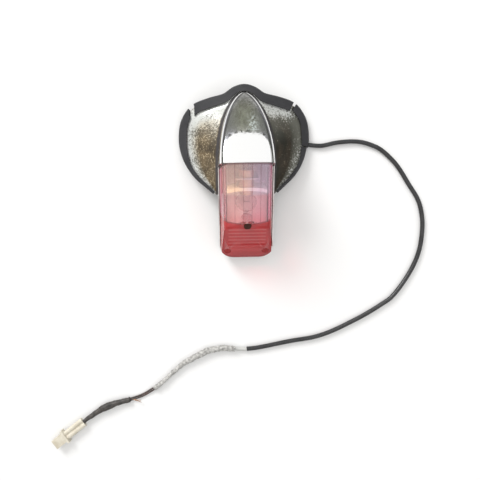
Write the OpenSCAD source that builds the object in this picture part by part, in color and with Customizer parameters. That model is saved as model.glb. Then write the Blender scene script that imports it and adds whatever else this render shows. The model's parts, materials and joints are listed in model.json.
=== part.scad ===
// Motorcycle tail light with a winged chrome housing, a red lens and its lead.
// X is across the light, +Y points to the nose of the hood, +Z is up, and Z = 0 is the surface that it rests on.

/* [Mudguard saddle] */
// Radius of the mudguard across
saddle_r = 100; // [95:1:120]
// Radius of the mudguard lengthwise
saddle_len_r = 364; // [340:1:420]
// Height of the mudguard's crown over the surface that the light rests on
crown_z = 27.6; // [27:0.1:30]
// Place of the crown along the light
crown_y = 36; // [30:1:40]

/* [Housing] */
// Wall of the hood
hood_wall = 2; // [1.6:0.1:2.4]
// Wall of the wings, measured straight up
wing_wall = 2; // [1.6:0.1:2.4]
// Place of the joint between the hood and the lens
joint_y = 2; // [0:0.5:4]
// Half width of the hood's rim at the joint
rim_w = 28.2; // [27:0.1:29]
// Half width of the hood's foot at the joint
foot_w = 30.2; // [29.6:0.1:31]
// Place of the tip of the hood's rim
tip_y = 85.8; // [84:0.1:86]
// Place of the tip of the hood's foot
foot_tip_y = 86.8; // [86.4:0.1:87.2]
// Height of the hood's ridge at the joint
top_z = 80; // [76:0.5:84]
// Height of the ridge at the tip
tip_z = 32; // [31:0.5:34]
// Rise of the hood's crown over its rim
hood_crown = 7; // [5:0.5:9]
// Depth of the hood's skirt under its foot
skirt = 3; // [2:0.5:4]

/* [Rubber trim] */
// Thickness of the trim's lips
trim_lip = 2.2; // [1.8:0.1:2.6]
// Reach of the trim outside the wing's edge
trim_out = 4; // [3:0.1:4.5]
// Reach of the side trims over the wing
trim_in = 5.5; // [4.5:0.1:6]
// Share of that reach which is left at the side trims' lower ends
trim_end = 0.2; // [0.2:0.05:0.6]
// Reach outside the edge of the lower right trim, which is tucked under
trim_out_tucked = 1.8; // [1.4:0.1:2.4]
// Clearance between the wing and the trim's slot
trim_play = 0.15; // [0.1:0.01:0.2]

/* [Lens seat] */
// Height of the lens seat at the joint
seat_z = 44; // [43:0.5:46]
// Slope of the lens seat in degrees
seat_tilt = 21; // [20:0.5:22]
// Wall of the lens frame
frame_wall = 2; // [1.6:0.1:2.4]
// Width of the seat's ledge
seat_ledge = 6.4; // [5.5:0.1:7]
// Thickness of the seat's ledge
seat_t = 2.5; // [2:0.1:3]
// Height of the lip round the lens
lip_h = 2.4; // [1.8:0.1:3]
// Play between the lens and the lip
lens_play = 0.2; // [0.2:0.05:0.4]
// Thickness of the frame's floor
floor_t = 2; // [1.6:0.1:2.4]

/* [Lens] */
// Half width of the lens at its seat
lens_w = 28.9; // [28:0.1:29.2]
// Half width of the lens at its top
lens_top_w = 25.3; // [24:0.1:26.5]
// Length of the lens along its seat
lens_len = 101.5; // [98:0.5:103]
// Height of the lens over the seat
lens_h = 35; // [34:0.5:36]
// Place of the crease between the top and the tail face
crease = 50; // [46:0.5:52]
// Height of the tail edge of the lens
tail_h = 5; // [4:0.1:6]
// Wall of the lens
lens_wall = 2.6; // [2:0.1:3]
// Radius of the lens's tail corners
lens_corner_r = 15; // [12:0.5:16]
// Rise of the lens's crown
lens_crown = 2.5; // [1:0.5:3]
// Distance between the flutes inside the top of the lens
flute_pitch = 8.8; // [7:0.1:9.5]
// Depth of the flutes
flute_deep = 0.5; // [0.3:0.1:0.8]
// Radius of the ribs inside the tail face
rib_r = 1.2; // [0.8:0.1:1.5]
// Distance between the ribs
rib_pitch = 5.6; // [5:0.1:6]
// Thickness of the gasket
gasket_t = 1.5; // [1:0.1:2]
// Gap between the lens and the hood
joint_gap = 0.4; // [0.3:0.1:1]

/* [Lens screws] */
// Distance of the long screw behind the crease
post_behind = 5.5; // [4:0.5:7]
// Radius of the long screw's shank
post_screw_r = 2.4; // [2:0.1:2.5]
// Radius of the long screw's head
post_head_r = 4; // [3.8:0.1:4.6]
// Outer radius of the lens's pillar
post_r = 5.8; // [5.4:0.1:6.2]
// Distance of the corner screws from the tail of the lens
corner_in = 10; // [7:0.5:11]
// Distance of the corner screws from the middle
corner_x = 21; // [20:0.5:22]
// Radius of the corner screws' shanks
corner_screw_r = 1.9; // [1.6:0.1:2.1]
// Radius of the corner screws' heads
corner_head_r = 3.4; // [3:0.1:3.6]
// Thickness of the screw heads
head_t = 2.4; // [2:0.1:2.8]
// Play round each screw
screw_play = 0.1; // [0.05:0.01:0.2]

/* [Lamp] */
// Height of the bulb's axis over the seat
bulb_rise = 6; // [5:0.5:7]
// Radius of the bulb's globe
globe_r = 11; // [10:0.1:11.5]
// Distance of the globe's centre from the back of the lamp holder
globe_at = 36; // [35:0.5:38]
// Radius of the bulb's cap
cap_r = 7.5; // [7:0.1:7.6]
// Length of the bulb's cap
cap_len = 14; // [13:0.5:15]
// Distance of the cap from the back of the lamp holder
cap_at = 13; // [12.5:0.1:13.5]
// Distance of the cap's pins from the back of the lamp holder
pin_at = 19; // [18.5:0.1:20]
// Radius of the pins
pin_r = 1; // [0.8:0.05:1.1]
// Reach of the pins from the bulb's axis
pin_reach = 8.9; // [8.6:0.1:9.2]
// Length of the lamp holder
socket_len = 24; // [23:0.5:26]
// Wall of the lamp holder
socket_wall = 0.9; // [0.7:0.1:1.1]
// Running clearance of the cap and the carrier in the holder
socket_play = 0.1; // [0.05:0.01:0.1]
// How far the bulb is pushed in to free it
push = 2; // [1.5:0.1:2.2]
// How far the bulb is turned to free it in degrees
twist = 20; // [15:1:25]
// Thickness of the contact carrier
carrier_t = 3.5; // [3:0.1:4]
// Distance of the contacts from the axis
contact_x = 3.4; // [3.2:0.1:3.6]
// Radius of the contacts
contact_r = 1.5; // [1.2:0.1:1.6]
// Mean radius of the contact spring
spring_r = 6; // [5.8:0.1:6.4]
// Radius of the spring's wire
spring_wire = 0.4; // [0.3:0.05:0.5]
// Turns of the spring
spring_turns = 4; // [3:1:5]
// Radius of the reflector's curve
reflector_r = 110; // [60:1:140]
// Half width of the reflector
reflector_w = 22; // [18:0.5:23]
// Distance of the reflector's middle from the joint
reflector_at = 18; // [16:0.5:20]
// Thickness of the reflector
reflector_t = 0.8; // [0.6:0.1:1]
// Height of the reflector's top over the seat
reflector_top = 15.5; // [15:0.5:16]
// Width of the flange along the reflector's top
flange_in = 3.6; // [3:0.1:4]
// Gap round the holder and the bulb's pins in the reflector's hole
reflector_gap = 0.4; // [0.3:0.1:0.6]

/* [Base] */
// Height of the base plate's underside
base_z = 28; // [27.8:0.1:29]
// Thickness of the base plate
base_t = 2; // [1.6:0.1:2.5]
// Half width of the base plate
base_w = 22; // [20:0.5:24]
// Front end of the base plate
base_front = 64; // [62:0.5:66]
// Rear end of the base plate
base_rear = -12; // [-13:0.5:-11]
// Place of the front mounting stud along the light
stud_front_y = 56; // [54:0.5:57]
// Place of the rear mounting stud along the light
stud_rear_y = 14; // [13:0.5:16]
// Radius of the mounting studs
stud_r = 3; // [2.5:0.1:3.2]
// Reach of the studs under the base plate
stud_len = 21; // [18:0.5:23]
// Radius of the studs' heads
stud_head_r = 5.5; // [5:0.1:6]
// Thickness of the studs' heads
stud_head_t = 2.5; // [2:0.1:3]
// Radius of the studs' pressed shoulders in the plate
stud_press_r = 3.6; // [3.4:0.1:4]
// Distance of the housing's pillars from the middle
pillar_x = 9; // [8:0.5:10]
// Place of the housing's pillars along the light
pillar_y = 45; // [44:0.5:46]
// Radius of the housing's pillars
pillar_r = 3.5; // [3:0.1:4]
// Radius of the rivets
rivet_r = 1.9; // [1.5:0.1:2.1]

/* [Lead] */
// Radius of the sheathed lead
lead_r = 2.5; // [2.2:0.1:2.6]
// Radius of the white inner sleeve
sleeve_r = 1.9; // [1.6:0.1:2.1]
// Radius of the grey tape wrap
tape_r = 3.3; // [3:0.1:3.6]
// Radius of each thin wire
wire_r = 0.9; // [0.7:0.1:1]
// Radius of the black tape wrap
black_tape_r = 3; // [2.6:0.1:3.2]

/* [Connector] */
// Radius of each barrel
barrel_r = 2.7; // [2.5:0.1:2.9]
// Length of the barrels
barrel_len = 25; // [22:0.5:27]
// Width of the flange
flange_w = 16; // [14:0.5:18]
// Height of the flange
flange_h = 9; // [8:0.5:9.2]
// Thickness of the flange
flange_t = 2.4; // [2:0.1:3]
// Length of the nose
nose_len = 14; // [12:0.5:15]
// Radius of the terminals' passages
passage_r = 1.7; // [1.4:0.1:1.9]

/* [Hidden] */
$fn = 48;
eps = 0.01;
post_y = crease + post_behind;
corner_y = lens_len - corner_in;

// Each row is a station of the wing, from the tail to the nose: edge x, edge y, foot y, foot z, flat ledge.
WING = [
    [32, -24.6, -24, 25, 1], [43.6, -14, -13.5, 32, 5], [54.8, -3, -5, 38, 9.5], [64, 11.5, 3, 42, 13],
    [69, 27, 12, 44.5, 15], [70.3, 42, 24, 45, 15], [68.5, 57, 36, 44, 15], [62.5, 68, 46, 41.5, 15],
    [54, 75, 56, 38, 14], [38, 79, 66, 33, 13.5], [22, 82, 75, 28.8, 9], [12, 88.3, 82.6, 28.6, 6],
    [5, 91.2, 85.9, 28.5, 6], [0, 92, foot_tip_y, 28.4, 6]];
// How far the top trim reaches over the wing, against the station from the middle of the nose
NOSE_REACH = [[0, 4.4], [2, 4.4], [2.5, 5], [3, 6.5], [4, 8], [7, 8]];
// How much of the side trims' reach is lost, against the station
SIDE_TAPER = [[5, 0], [8.3, 0], [9.2, 0.25], [10.2, 0.65], [12.7, 1]];
last = len(WING) - 1;
chrome = [0.78, 0.78, 0.76];
rubber = [0.13, 0.13, 0.14];
steel = [0.6, 0.6, 0.58];
cream = [0.93, 0.9, 0.78];

// A point on the smooth curve through the rows of p, at s rows from the first
function along(p, s) = let(n = len(p) - 1, i = min(max(floor(s), 0), n - 1), t = s - i,
    a = p[max(i - 1, 0)], b = p[i], c = p[i + 1], d = p[min(i + 2, n)])
    0.5 * (2 * b + (c - a) * t + (2 * a - 5 * b + 4 * c - d) * t * t + (3 * b - a - 3 * c + d) * t * t * t);
function mix(a, b, t) = a + (b - a) * t;
function unit(v) = v / norm(v);
function saddle(x, y) = crown_z - x * x / (2 * saddle_r) - (y - crown_y) * (y - crown_y) / (2 * saddle_len_r);
function swell(y, tip) = pow(max(1 - pow(max((y - joint_y) / (tip - joint_y), 0), 2), 0), 0.55);
function rim_half(y, in = 0) = (rim_w - in) * swell(y, tip_y - in);
function foot_half(y, in = 0) = (foot_w - in) * swell(y, foot_tip_y - in);
function foot_z(y) = lookup(y, [for (w = WING) [w[2], w[3]]]);
function ridge_z(y, in = 0) = let(u = (y - joint_y) / (tip_y - in - joint_y))
    u < 1 ? tip_z + (top_z - tip_z) * (1 - pow(max(u, 0), 1.4)) - in
    : mix(tip_z, foot_z(foot_tip_y), (y - tip_y + in) / (foot_tip_y - tip_y)) - in;
// Fall of the hood from its ridge at t of its half width: a gentle crown, then a rounded shoulder
function fall(t) = hood_crown * (0.35 * pow(t, 2) + 0.65 * pow(t, 16));
function hood_z(x, y) = ridge_z(y) - swell(y, tip_y) * fall(x / max(rim_half(y), 1));

// A closed solid through rings that hold two paths of equal length, the second one backwards
module loft(rings, flip = false) {
    n = len(rings[0]);
    half = n / 2;
    points = [for (r = rings) for (p = r) p];
    sides = [for (i = [0:len(rings) - 2]) for (j = [0:n - 1]) for (k = [0, 1])
        let(a = i * n + j, b = i * n + (j + 1) % n) k == 0 ? [a, b, b + n] : [a, b + n, a + n]];
    end = (len(rings) - 1) * n;
    near = [for (j = [0:half - 2]) for (k = [0, 1])
        k == 0 ? [j, n - 1 - j, n - 2 - j] : [j, n - 2 - j, j + 1]];
    far = [for (f = near) [end + f[2], end + f[1], end + f[0]]];
    all = concat(sides, near, far);
    polyhedron(points, flip ? all : [for (f = all) [f[2], f[1], f[0]]]);
}

// A tube along the route's points, round all the way, with its own radius at each ring
function tube_ring(route, s, r, sides) = let(h = 0.02, n = len(route) - 1,
    p = along(route, s), t = unit(along(route, min(s + h, n)) - along(route, max(s - h, 0))),
    side = unit(cross([0, 0, 1], t)), up = cross(t, side))
    [for (k = [0:sides - 1]) let(a = -90 + 360 * k / sides) p + r * (cos(a) * side + sin(a) * up)];
// It starts and ends a small gap from the route's own ends, so that a tube that meets the next one stays clear of it
tube_gap = 0.35;
module tube(route, r, rings, sides = 8) {
    n = len(route) - 1;
    from = tube_gap / norm(route[1] - route[0]);
    to = n - tube_gap / norm(route[n] - route[n - 1]);
    loft([for (i = [0:rings]) tube_ring(route, mix(from, to, i / rings), r, sides)]);
}

// The frame of the lens seat: its X-Y plane is the seat, and +Y runs up it to the joint
module seat() {
    translate([0, joint_y, seat_z]) rotate([seat_tilt, 0, 0]) children();
}
// The frame of the bulb: the origin is the back of the lamp holder, and +Z points to the globe
module bulb_frame() {
    seat() translate([0, 0, bulb_rise]) rotate([90, 0, 0]) children();
}
// A flat shape drawn in Y and Z, from -x to x
module across(x) {
    rotate([90, 0, 90]) translate([0, 0, -x]) linear_extrude(2 * x) children();
}

// Housing
// Where the hood's rows of points lie across its top, from the middle to the rim and then the foot
HOOD_COLS = [0, 0.32, 0.6, 0.77, 0.86, 0.915, 0.95, 0.98, 1, 1];
foot_col = len(HOOD_COLS) - 1;
function hood_ring(y, in) = let(w = max(rim_half(y, in), 0.4), f = max(foot_half(y, in), 0.6), z = foot_z(y),
    top = max(ridge_z(y, in), z + 0.6), drop = swell(y, tip_y - in), low = in > 0 ? z - 3 * skirt : z - skirt)
    [for (j = [-foot_col:foot_col]) let(t = HOOD_COLS[abs(j)])
        abs(j) == foot_col ? [sign(j) * f, y, z] : [sign(j) * w * t, y, top - drop * fall(t)],
     for (j = [foot_col:-1:-foot_col]) [f * j / foot_col, y, low]];
module hood_solid(in) {
    from = in > 0 ? joint_y - 1 : joint_y;
    long = foot_tip_y - in - from - 0.02;
    loft([for (i = [0:24]) hood_ring(from + long * (1 - pow(1 - i / 24, 1.8)), in)]);
}
// The wing from its edge inwards, at station s; d counts from 0 at the edge to 1 at the foot
WING_COLS = [0, 1 / 3, 2 / 3];
function wing_at(s) = let(w = along(WING, s), behind = w[2] < joint_y + 3)
    [[w[0], w[1]], [max(foot_half(w[2]) - (behind ? 0 : hood_wall / 2), 0), w[2]], w[3], w[4]];
function wing_ring(s) = let(w = wing_at(s), long = norm(w[1] - w[0]), ledge = min(w[3], long - 0.4),
    rise = w[2] - saddle(w[1][0], w[1][1]) - trim_lip - trim_play - wing_wall,
    ds = concat([for (c = WING_COLS) ledge * c], [for (k = [0:5]) mix(ledge, long, k / 5)]),
    top = [for (d = ds) let(p = mix(w[0], w[1], d / long), t = max(d - ledge, 0) / (long - ledge))
        [p[0], p[1], saddle(p[0], p[1]) + trim_lip + trim_play + wing_wall + rise * pow(t, 1.2)]])
    concat(top, [for (k = [len(top) - 1:-1:0]) top[k] - [0, 0, wing_wall]]);
module wing() {
    loft([for (i = [0:44]) wing_ring(last * i / 44)], flip = true);
}
module housing_shell() color(chrome) {
    difference() {
        hood_solid(0);
        hood_solid(hood_wall);
    }
    wing();
    mirror([1, 0, 0]) wing();
}

// Points of the lead on the table. The light stood slightly askew to them, so they are turned to its own axes
lead_turn = -1;
lead_shift = 0.9;
function laid(route) = [for (p = route) let(x = p[0] - lead_shift)
    [x * cos(lead_turn) - p[1] * sin(lead_turn), x * sin(lead_turn) + p[1] * cos(lead_turn), p[2]]];
lead_exit = laid([[74, 33.5, 2.6]])[0];
lead_y = lead_exit[1];

// Rubber trim: stations count from the middle of the nose, minus to the left and plus to the right
function edge_at(c) = let(p = along(WING, last - abs(c))) [sign(c) * p[0], p[1]];
function edge_out(c) = let(h = 0.05, t = unit(edge_at(c + h) - edge_at(c - h))) [-t[1], t[0]];
trim_slot = wing_wall + 2 * trim_play;
trim_high = 2 * trim_lip + trim_slot;
bevel = 1.6;
notch_len = 24;
// The section at station c; slant moves its inner edge along the wing, for an end that is cut askew
function trim_ring(c, out, reach, slant) = let(
    outer = [[-reach, 0], [out - bevel, 0], [out, trim_lip], [out, trim_high - bevel],
        [out - bevel, trim_high], [-reach, trim_high]],
    inner = [[-reach, trim_high - trim_lip], [0.3, trim_high - trim_lip], [0.6, trim_high - trim_lip - 0.1],
        [0.6, trim_lip + 0.1], [0.3, trim_lip], [-reach, trim_lip]])
    [for (q = concat(outer, inner)) let(at = c + slant * max(-q[0], 0) / reach, a = edge_at(at) + q[0] * edge_out(at))
        [a[0], a[1], saddle(a[0], a[1]) + q[1]]];
function side_reach(c) = trim_in * mix(1, trim_end, lookup(abs(c), SIDE_TAPER));
function side_out(c, out) = mix(out, trim_out_tucked, lookup(abs(c), SIDE_TAPER));
function slant_at(c, from, slants) = slants * max(1 - abs(c - from) / 1.5, 0);
module trim(from, to, out = trim_out, top = false, slants = 0) {
    n = ceil(abs(to - from) / 0.22);
    color(rubber) loft([for (i = [0:n]) let(c = mix(from, to, i / n))
        trim_ring(c, top ? out : side_out(c, out), top ? lookup(abs(c), NOSE_REACH) : side_reach(c),
            slant_at(c, top ? from : to, slants))]);
}
module trim_top() trim(-5.05, 5.05, top = true, slants = -0.8);
module trim_left() trim(-12.7, -5.62, slants = -0.7);
// The upper right trim is notched where the lead passes under it
module trim_right_upper() color(rubber) difference() {
    trim(5.3, 8.85);
    translate([lead_exit[0] - notch_len / 2, lead_y, lead_exit[2]]) rotate([0, 90, 0])
        cylinder(r = lead_r + 0.35, h = notch_len);
}
module trim_right_lower() trim(8.93, 12.7, out = trim_out_tucked);

// Lens frame
frame_w = foot_w - 0.1;
frame_len = lens_len + frame_w - lens_w;
// What lies ahead of the joint, in Y and Z, to be cut away
past_joint = [60, 90];
function tail_arc(w, r, long) = [for (a = [0:10:90]) [w - r + r * cos(a), -long + r - r * sin(a)]];
module seat_plan(in, front = 20) {
    right = tail_arc(frame_w - in, max(lens_corner_r + frame_w - lens_w - in, 3), frame_len - in);
    polygon(concat([[frame_w - in, front]], right,
        [for (k = [len(right) - 1:-1:0]) [-right[k][0], right[k][1]]], [[-frame_w + in, front]]));
}
tail_end = joint_y - frame_len * cos(seat_tilt) - 2;
floor_bend_y = mix(joint_y, tail_end, 0.488);
floor_line = [[joint_y, base_z - floor_t], [mix(joint_y, tail_end, 0.166), base_z - floor_t], [floor_bend_y, 19.2],
    [tail_end, 4.6]];
module floor_band(low, high) {
    polygon(concat([for (p = floor_line) p + [0, low]], [for (k = [3:-1:0]) floor_line[k] + [0, high]]));
}
tail_foot_y = joint_y - frame_len * cos(seat_tilt)
    + (seat_z / cos(seat_tilt) - frame_len * tan(seat_tilt)) * sin(seat_tilt);
skirt_line = concat([for (t = [0, 0.25, 0.5, 0.75]) let(y = mix(joint_y, tail_foot_y, t)) [y, saddle(frame_w, y)]],
    [[tail_foot_y, 0]]);
module under_seat(z, deep = 60) {
    seat() translate([0, 0, z]) mirror([0, 0, 1]) linear_extrude(deep) children();
}
module lens_frame() color(chrome) {
    difference() {
        intersection() {
            under_seat(lip_h) seat_plan(0);
            across(frame_w + 1) polygon(concat(skirt_line, [[tail_end - 2, 0], [tail_end - 2, 90], [joint_y, 90]]));
        }
        difference() {
            union() {
                under_seat(-seat_t) seat_plan(frame_wall);
                under_seat(1, seat_t + 1.1) seat_plan(seat_ledge);
            }
            across(frame_w + 1) floor_band(0, floor_t);
        }
        under_seat(lip_h + 1, lip_h + 1) seat_plan(frame_w - lens_w - lens_play);
        translate([0, joint_y, 0]) across(frame_w + 1) square(past_joint);
        window_cut(0);
        rivet_holes(frame_rivet_at);
        seat() post_hole();
    }
    difference() {
        union() {
            seat() translate([0, -post_y, -post_boss]) cylinder(r = post_r, h = post_boss);
            for (x = [-1, 1])
                seat() translate([x * corner_x, -corner_y, -boss_deep])
                    cylinder(r = corner_head_r + 1, h = boss_deep);
        }
        seat() post_hole();
    }
}
boss_deep = 5;
post_boss = 6;
module post_hole() {
    translate([0, -post_y, -20]) cylinder(r = post_screw_r + screw_play, h = 40);
    for (x = [-1, 1])
        translate([x * corner_x, -corner_y, -10]) cylinder(r = corner_screw_r + screw_play, h = 20);
}

// Number-plate window in the floor of the frame
post_back_y = joint_y - post_y * cos(seat_tilt) + post_boss * sin(seat_tilt) - post_r;
window_y = mix(post_back_y, tail_end, 0.354);
window_len = 0.505 * (post_back_y - tail_end);
window_w = 16;
window_screw_x = window_w / 2 + 4;
window_hole_r = 1.3;
pane_t = 1.6;
window_slope = atan((floor_line[2][1] - floor_line[3][1]) / (floor_line[2][0] - floor_line[3][0]));
module window_place() {
    translate([0, window_y, mix(floor_line[2][1], floor_line[3][1],
        (window_y - floor_line[2][0]) / (floor_line[3][0] - floor_line[2][0]))]) rotate([window_slope, 0, 0]) children();
}
module window_cut(grow) {
    window_place() translate([-window_w / 2 - grow, -window_len / 2 - grow, -5])
        cube([window_w + 2 * grow, window_len + 2 * grow, 12]);
    window_holes();
}
module window_holes() {
    for (x = [-1, 1]) window_place() translate([x * window_screw_x, 0, -5]) cylinder(r = window_hole_r, h = 12);
}
module plate_window() color([0.9, 0.92, 0.92]) difference() {
    window_place() translate([-window_w / 2 - 7, -window_len / 2 - 2, floor_t])
        cube([window_w + 14, window_len + 4, pane_t]);
    window_holes();
}
module window_screws() color(steel) for (x = [-1, 1]) window_place() translate([x * window_screw_x, 0, 0]) {
    translate([0, 0, 0.2]) cylinder(r = window_hole_r - screw_play, h = floor_t + pane_t - 0.2);
    translate([0, 0, floor_t + pane_t]) cylinder(r = 2.2, h = 1);
}

// Lens: in is 0 for its outside and the wall for its inside, which is open below
crease_r = 6;
shoulder_r = 7;
tail_slope = atan((lens_h - tail_h) / (lens_len - crease));
rib_count = 6;
rib_first = 9;
rib_half = 17;
head_play = 0.2;
post_seat = lens_h - 7;
corner_seat = 6.4;
function lens_low(in) = in > 0 ? -lens_h / 4 : 0;
function crease_end(in) = let(r = crease_r - in / 2) [-crease + (in + r) * tan(tail_slope / 2) - r * sin(tail_slope),
    lens_h - in - r + r * cos(tail_slope)];
function tail_point(in) = [-lens_len + in, tail_h - 0.7 * in];
module lens_side(in) {
    r = crease_r - in / 2;
    low = in > 0 ? lens_low(in) : gasket_t;
    polygon(concat([[frame_w, low], [frame_w, lens_h - in]],
        [for (k = [0:6]) let(a = tail_slope * k / 6)
            crease_end(in) + r * [sin(tail_slope) - sin(a), cos(a) - cos(tail_slope)]],
        [tail_point(in), [-lens_len + in, low]]));
}
module lens_section(in) {
    r = shoulder_r - in;
    c = [lens_top_w - in - r, lens_h - lens_crown - in - r];
    low = lens_low(in);
    right = [for (a = [0:15:75]) c + r * [cos(a), sin(a)]];
    flutes = [for (f = [1.5, 0.5, -0.5, -1.5]) for (d = [0.7, 0, -0.7])
        [f * flute_pitch + d, d == 0 ? flute_deep : 0]];
    rows = in > 0 ? concat([[c[0], 0]], flutes, [[-c[0], 0]]) : [for (k = [6:-1:-6]) [c[0] * k / 6, 0]];
    polygon(concat([[-lens_w + in, low], [lens_w - in, low]], right,
        [for (p = rows) [p[0], lens_h - in - lens_crown * pow(p[0] / c[0], 2) + p[1]]],
        [for (k = [5:-1:0]) [-right[k][0], right[k][1]]]));
}
module lens_body(in) {
    intersection() {
        seat() across(lens_w) lens_side(in);
        seat() translate([0, lens_h, 0]) rotate([90, 0, 0]) linear_extrude(lens_len + 2 * lens_h) lens_section(in);
        under_seat(lens_h + 1, 1.4 * lens_h) seat_plan(frame_w - lens_w + in, front = lens_h);
        translate([-lens_w, tail_end, 0])
            cube([2 * lens_w, joint_y - joint_gap + (in > 0 ? lens_wall : 0) - tail_end, 2 * top_z]);
    }
}
// Ribs across the inside of the tail face
module lens_ribs() {
    a = crease_end(lens_wall);
    b = tail_point(lens_wall);
    for (i = [0:rib_count - 1]) let(p = mix(a, b, (rib_first + i * rib_pitch) / norm(b - a)))
        seat() translate([-rib_half, p[0], p[1]]) rotate([0, 90, 0]) cylinder(r = rib_r, h = 2 * rib_half, $fn = 16);
}
module lens() color([0.78, 0.16, 0.18, 0.85]) difference() {
    union() {
        difference() {
            lens_body(0);
            lens_body(lens_wall);
        }
        intersection() {
            lens_body(0);
            union() {
                lens_ribs();
                seat() translate([0, -post_y, 0.2]) cylinder(r = post_r, h = lens_h);
                for (x = [-1, 1]) seat() translate([x * corner_x, -corner_y, gasket_t])
                    cylinder(r = corner_head_r + 0.9, h = corner_seat + head_t + 2.6);
            }
        }
    }
    seat() {
        post_hole();
        translate([0, -post_y, post_seat]) cylinder(r = post_head_r + head_play, h = lens_h);
        translate([0, -post_y, 0]) cylinder(r = post_screw_r + screw_play, h = lens_h);
        for (x = [-1, 1]) translate([x * corner_x, -corner_y, corner_seat])
            cylinder(r = corner_head_r + head_play, h = lens_h);
    }
}
module lens_gasket() color(rubber) difference() {
    under_seat(gasket_t, gasket_t) seat_plan(frame_w - lens_w);
    under_seat(gasket_t + 1, gasket_t + 2) seat_plan(seat_ledge, front = 30);
    translate([0, joint_y - joint_gap, 0]) across(frame_w + 1) square(past_joint);
    seat() post_hole();
}
module lens_post_screw() color(steel) seat() translate([0, -post_y, 0]) {
    translate([0, 0, 0.6 - post_boss]) cylinder(r = post_screw_r, h = post_seat + post_boss - 0.6);
    difference() {
        translate([0, 0, post_seat]) cylinder(r = post_head_r, h = head_t);
        translate([-0.6, -5, post_seat + head_t - 1]) cube([1.2, 10, 2]);
    }
}
module lens_corner_screws() color(steel) for (x = [-1, 1]) seat() translate([x * corner_x, -corner_y, 0]) {
    translate([0, 0, -boss_deep + 0.6]) cylinder(r = corner_screw_r, h = corner_seat + boss_deep - 0.6);
    difference() {
        translate([0, 0, corner_seat]) cylinder(r = corner_head_r, h = head_t);
        translate([-0.5, -5, corner_seat + head_t - 0.8]) cube([1, 10, 2]);
    }
}

// Lamp
socket_r = cap_r + socket_play;
socket_out = socket_r + socket_wall;
pin_angle = asin((pin_r + 0.25) / socket_r);
slot_deep = 6;
reflector_sag = reflector_r - sqrt(pow(reflector_r, 2) - pow(reflector_w, 2));
// A band of the reflector's curve, of thickness t from its face inwards, between two heights over the seat
module reflector_band(low, high, t) {
    intersection() {
        seat() translate([0, -reflector_at - reflector_r, low]) difference() {
            cylinder(r = reflector_r, h = high - low, $fn = 240);
            translate([0, 0, -1]) cylinder(r = reflector_r - t, h = high - low + 2, $fn = 240);
        }
        seat() translate([-reflector_w, -reflector_at - reflector_sag - t, low])
            cube([2 * reflector_w, reflector_sag + t + 1, high - low]);
    }
}
module reflector() color([0.9, 0.9, 0.88]) {
    difference() {
        reflector_band(-bulb_rise - 3, reflector_top, reflector_t);
        translate([-foot_w, -lens_len, 0]) cube([2 * foot_w, lens_len + joint_y, base_z + base_t + 0.2]);
        bulb_frame() cylinder(r = pin_reach + reflector_gap, h = globe_at);
    }
    reflector_band(reflector_top - reflector_t, reflector_top, flange_in);
}
bracket_at = 7.5;
bracket_t = 1.5;
bracket_w = 12;
bracket_low = 24;
bracket_high = 11;
rivet_head_r = 2.8;
foot_y = [-7, stud_rear_y - stud_head_r - 0.3];
module socket_bracket() color(steel) difference() {
    union() {
        difference() {
            bulb_frame() translate([-bracket_w, -bracket_low, bracket_at])
                cube([2 * bracket_w, bracket_low + bracket_high, bracket_t]);
            translate([-base_w, base_rear, 0]) cube([2 * base_w, base_front - base_rear, base_z + base_t]);
        }
        translate([-bracket_w, foot_y[0], base_z + base_t]) cube([2 * bracket_w, foot_y[1] - foot_y[0], bracket_t]);
    }
    bulb_frame() cylinder(r = socket_out + 0.05, h = socket_len);
    rivet_holes(bracket_rivet_at);
}
module socket_shell() color("goldenrod") bulb_frame() difference() {
    union() {
        cylinder(r = socket_out, h = socket_len);
        translate([0, 0, bracket_at + bracket_t]) cylinder(r = socket_out + 1.6, h = 1);
    }
    translate([0, 0, 1]) cylinder(r = socket_r, h = socket_len);
    translate([0, 0, -1]) cylinder(r = 4.5, h = 3);
    for (side = [0, 180]) rotate(side) {
        translate([0, 0, pin_at - push - pin_r - 0.15]) rotate(-pin_angle)
            rotate_extrude(angle = twist + 2 * pin_angle) translate([socket_r - 1, 0])
                square([slot_deep, push + 2 * pin_r + 0.3]);
        rotate(twist) translate([socket_r - 1.5, -pin_r - 0.2, pin_at - 1]) cube([slot_deep, 2 * pin_r + 0.4, 20]);
    }
}
carrier_at = cap_at - 1.5 - carrier_t;
module contact_carrier() color([0.45, 0.25, 0.12]) bulb_frame() difference() {
    translate([0, 0, carrier_at]) cylinder(r = cap_r, h = carrier_t);
    for (y = [-1, 1]) translate([0, y * contact_x, 0]) cylinder(r = contact_r + 0.02, h = 20);
}
module contact_studs() color("goldenrod") for (y = [-1, 1]) bulb_frame() translate([0, y * contact_x, carrier_at - 1])
    cylinder(r = contact_r, h = cap_at - carrier_at - 0.05);
spring_from = 1 + spring_wire + 0.02;
spring_to = carrier_at - spring_wire - 0.02;
spring_steps = 14 * spring_turns;
module contact_spring() color(steel) bulb_frame()
    loft([for (i = [0:spring_steps]) let(a = 360 * spring_turns * i / spring_steps,
        up = mix(spring_from, spring_to, i / spring_steps))
        [for (k = [0:5]) let(b = 60 * k, r = spring_r + spring_wire * cos(b))
            [r * cos(a), r * sin(a), up + spring_wire * sin(b)]]], flip = true);
cap_wall = 0.4;
module bulb_cap() color("goldenrod") bulb_frame() {
    difference() {
        translate([0, 0, cap_at]) cylinder(r = cap_r, h = cap_len);
        translate([0, 0, cap_at + 1.2]) cylinder(r = cap_r - cap_wall, h = cap_len);
    }
    for (y = [-1, 1]) translate([0, y * contact_x, cap_at - 1]) cylinder(r = contact_r, h = 1.5);
    for (x = [0, 180]) rotate(x) translate([cap_r - cap_wall, 0, pin_at]) rotate([0, 90, 0])
        cylinder(r = pin_r, h = pin_reach - cap_r + cap_wall);
}
neck_r = cap_r - 0.5;
glass_wall = 0.8;
filament_half = 3;
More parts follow.
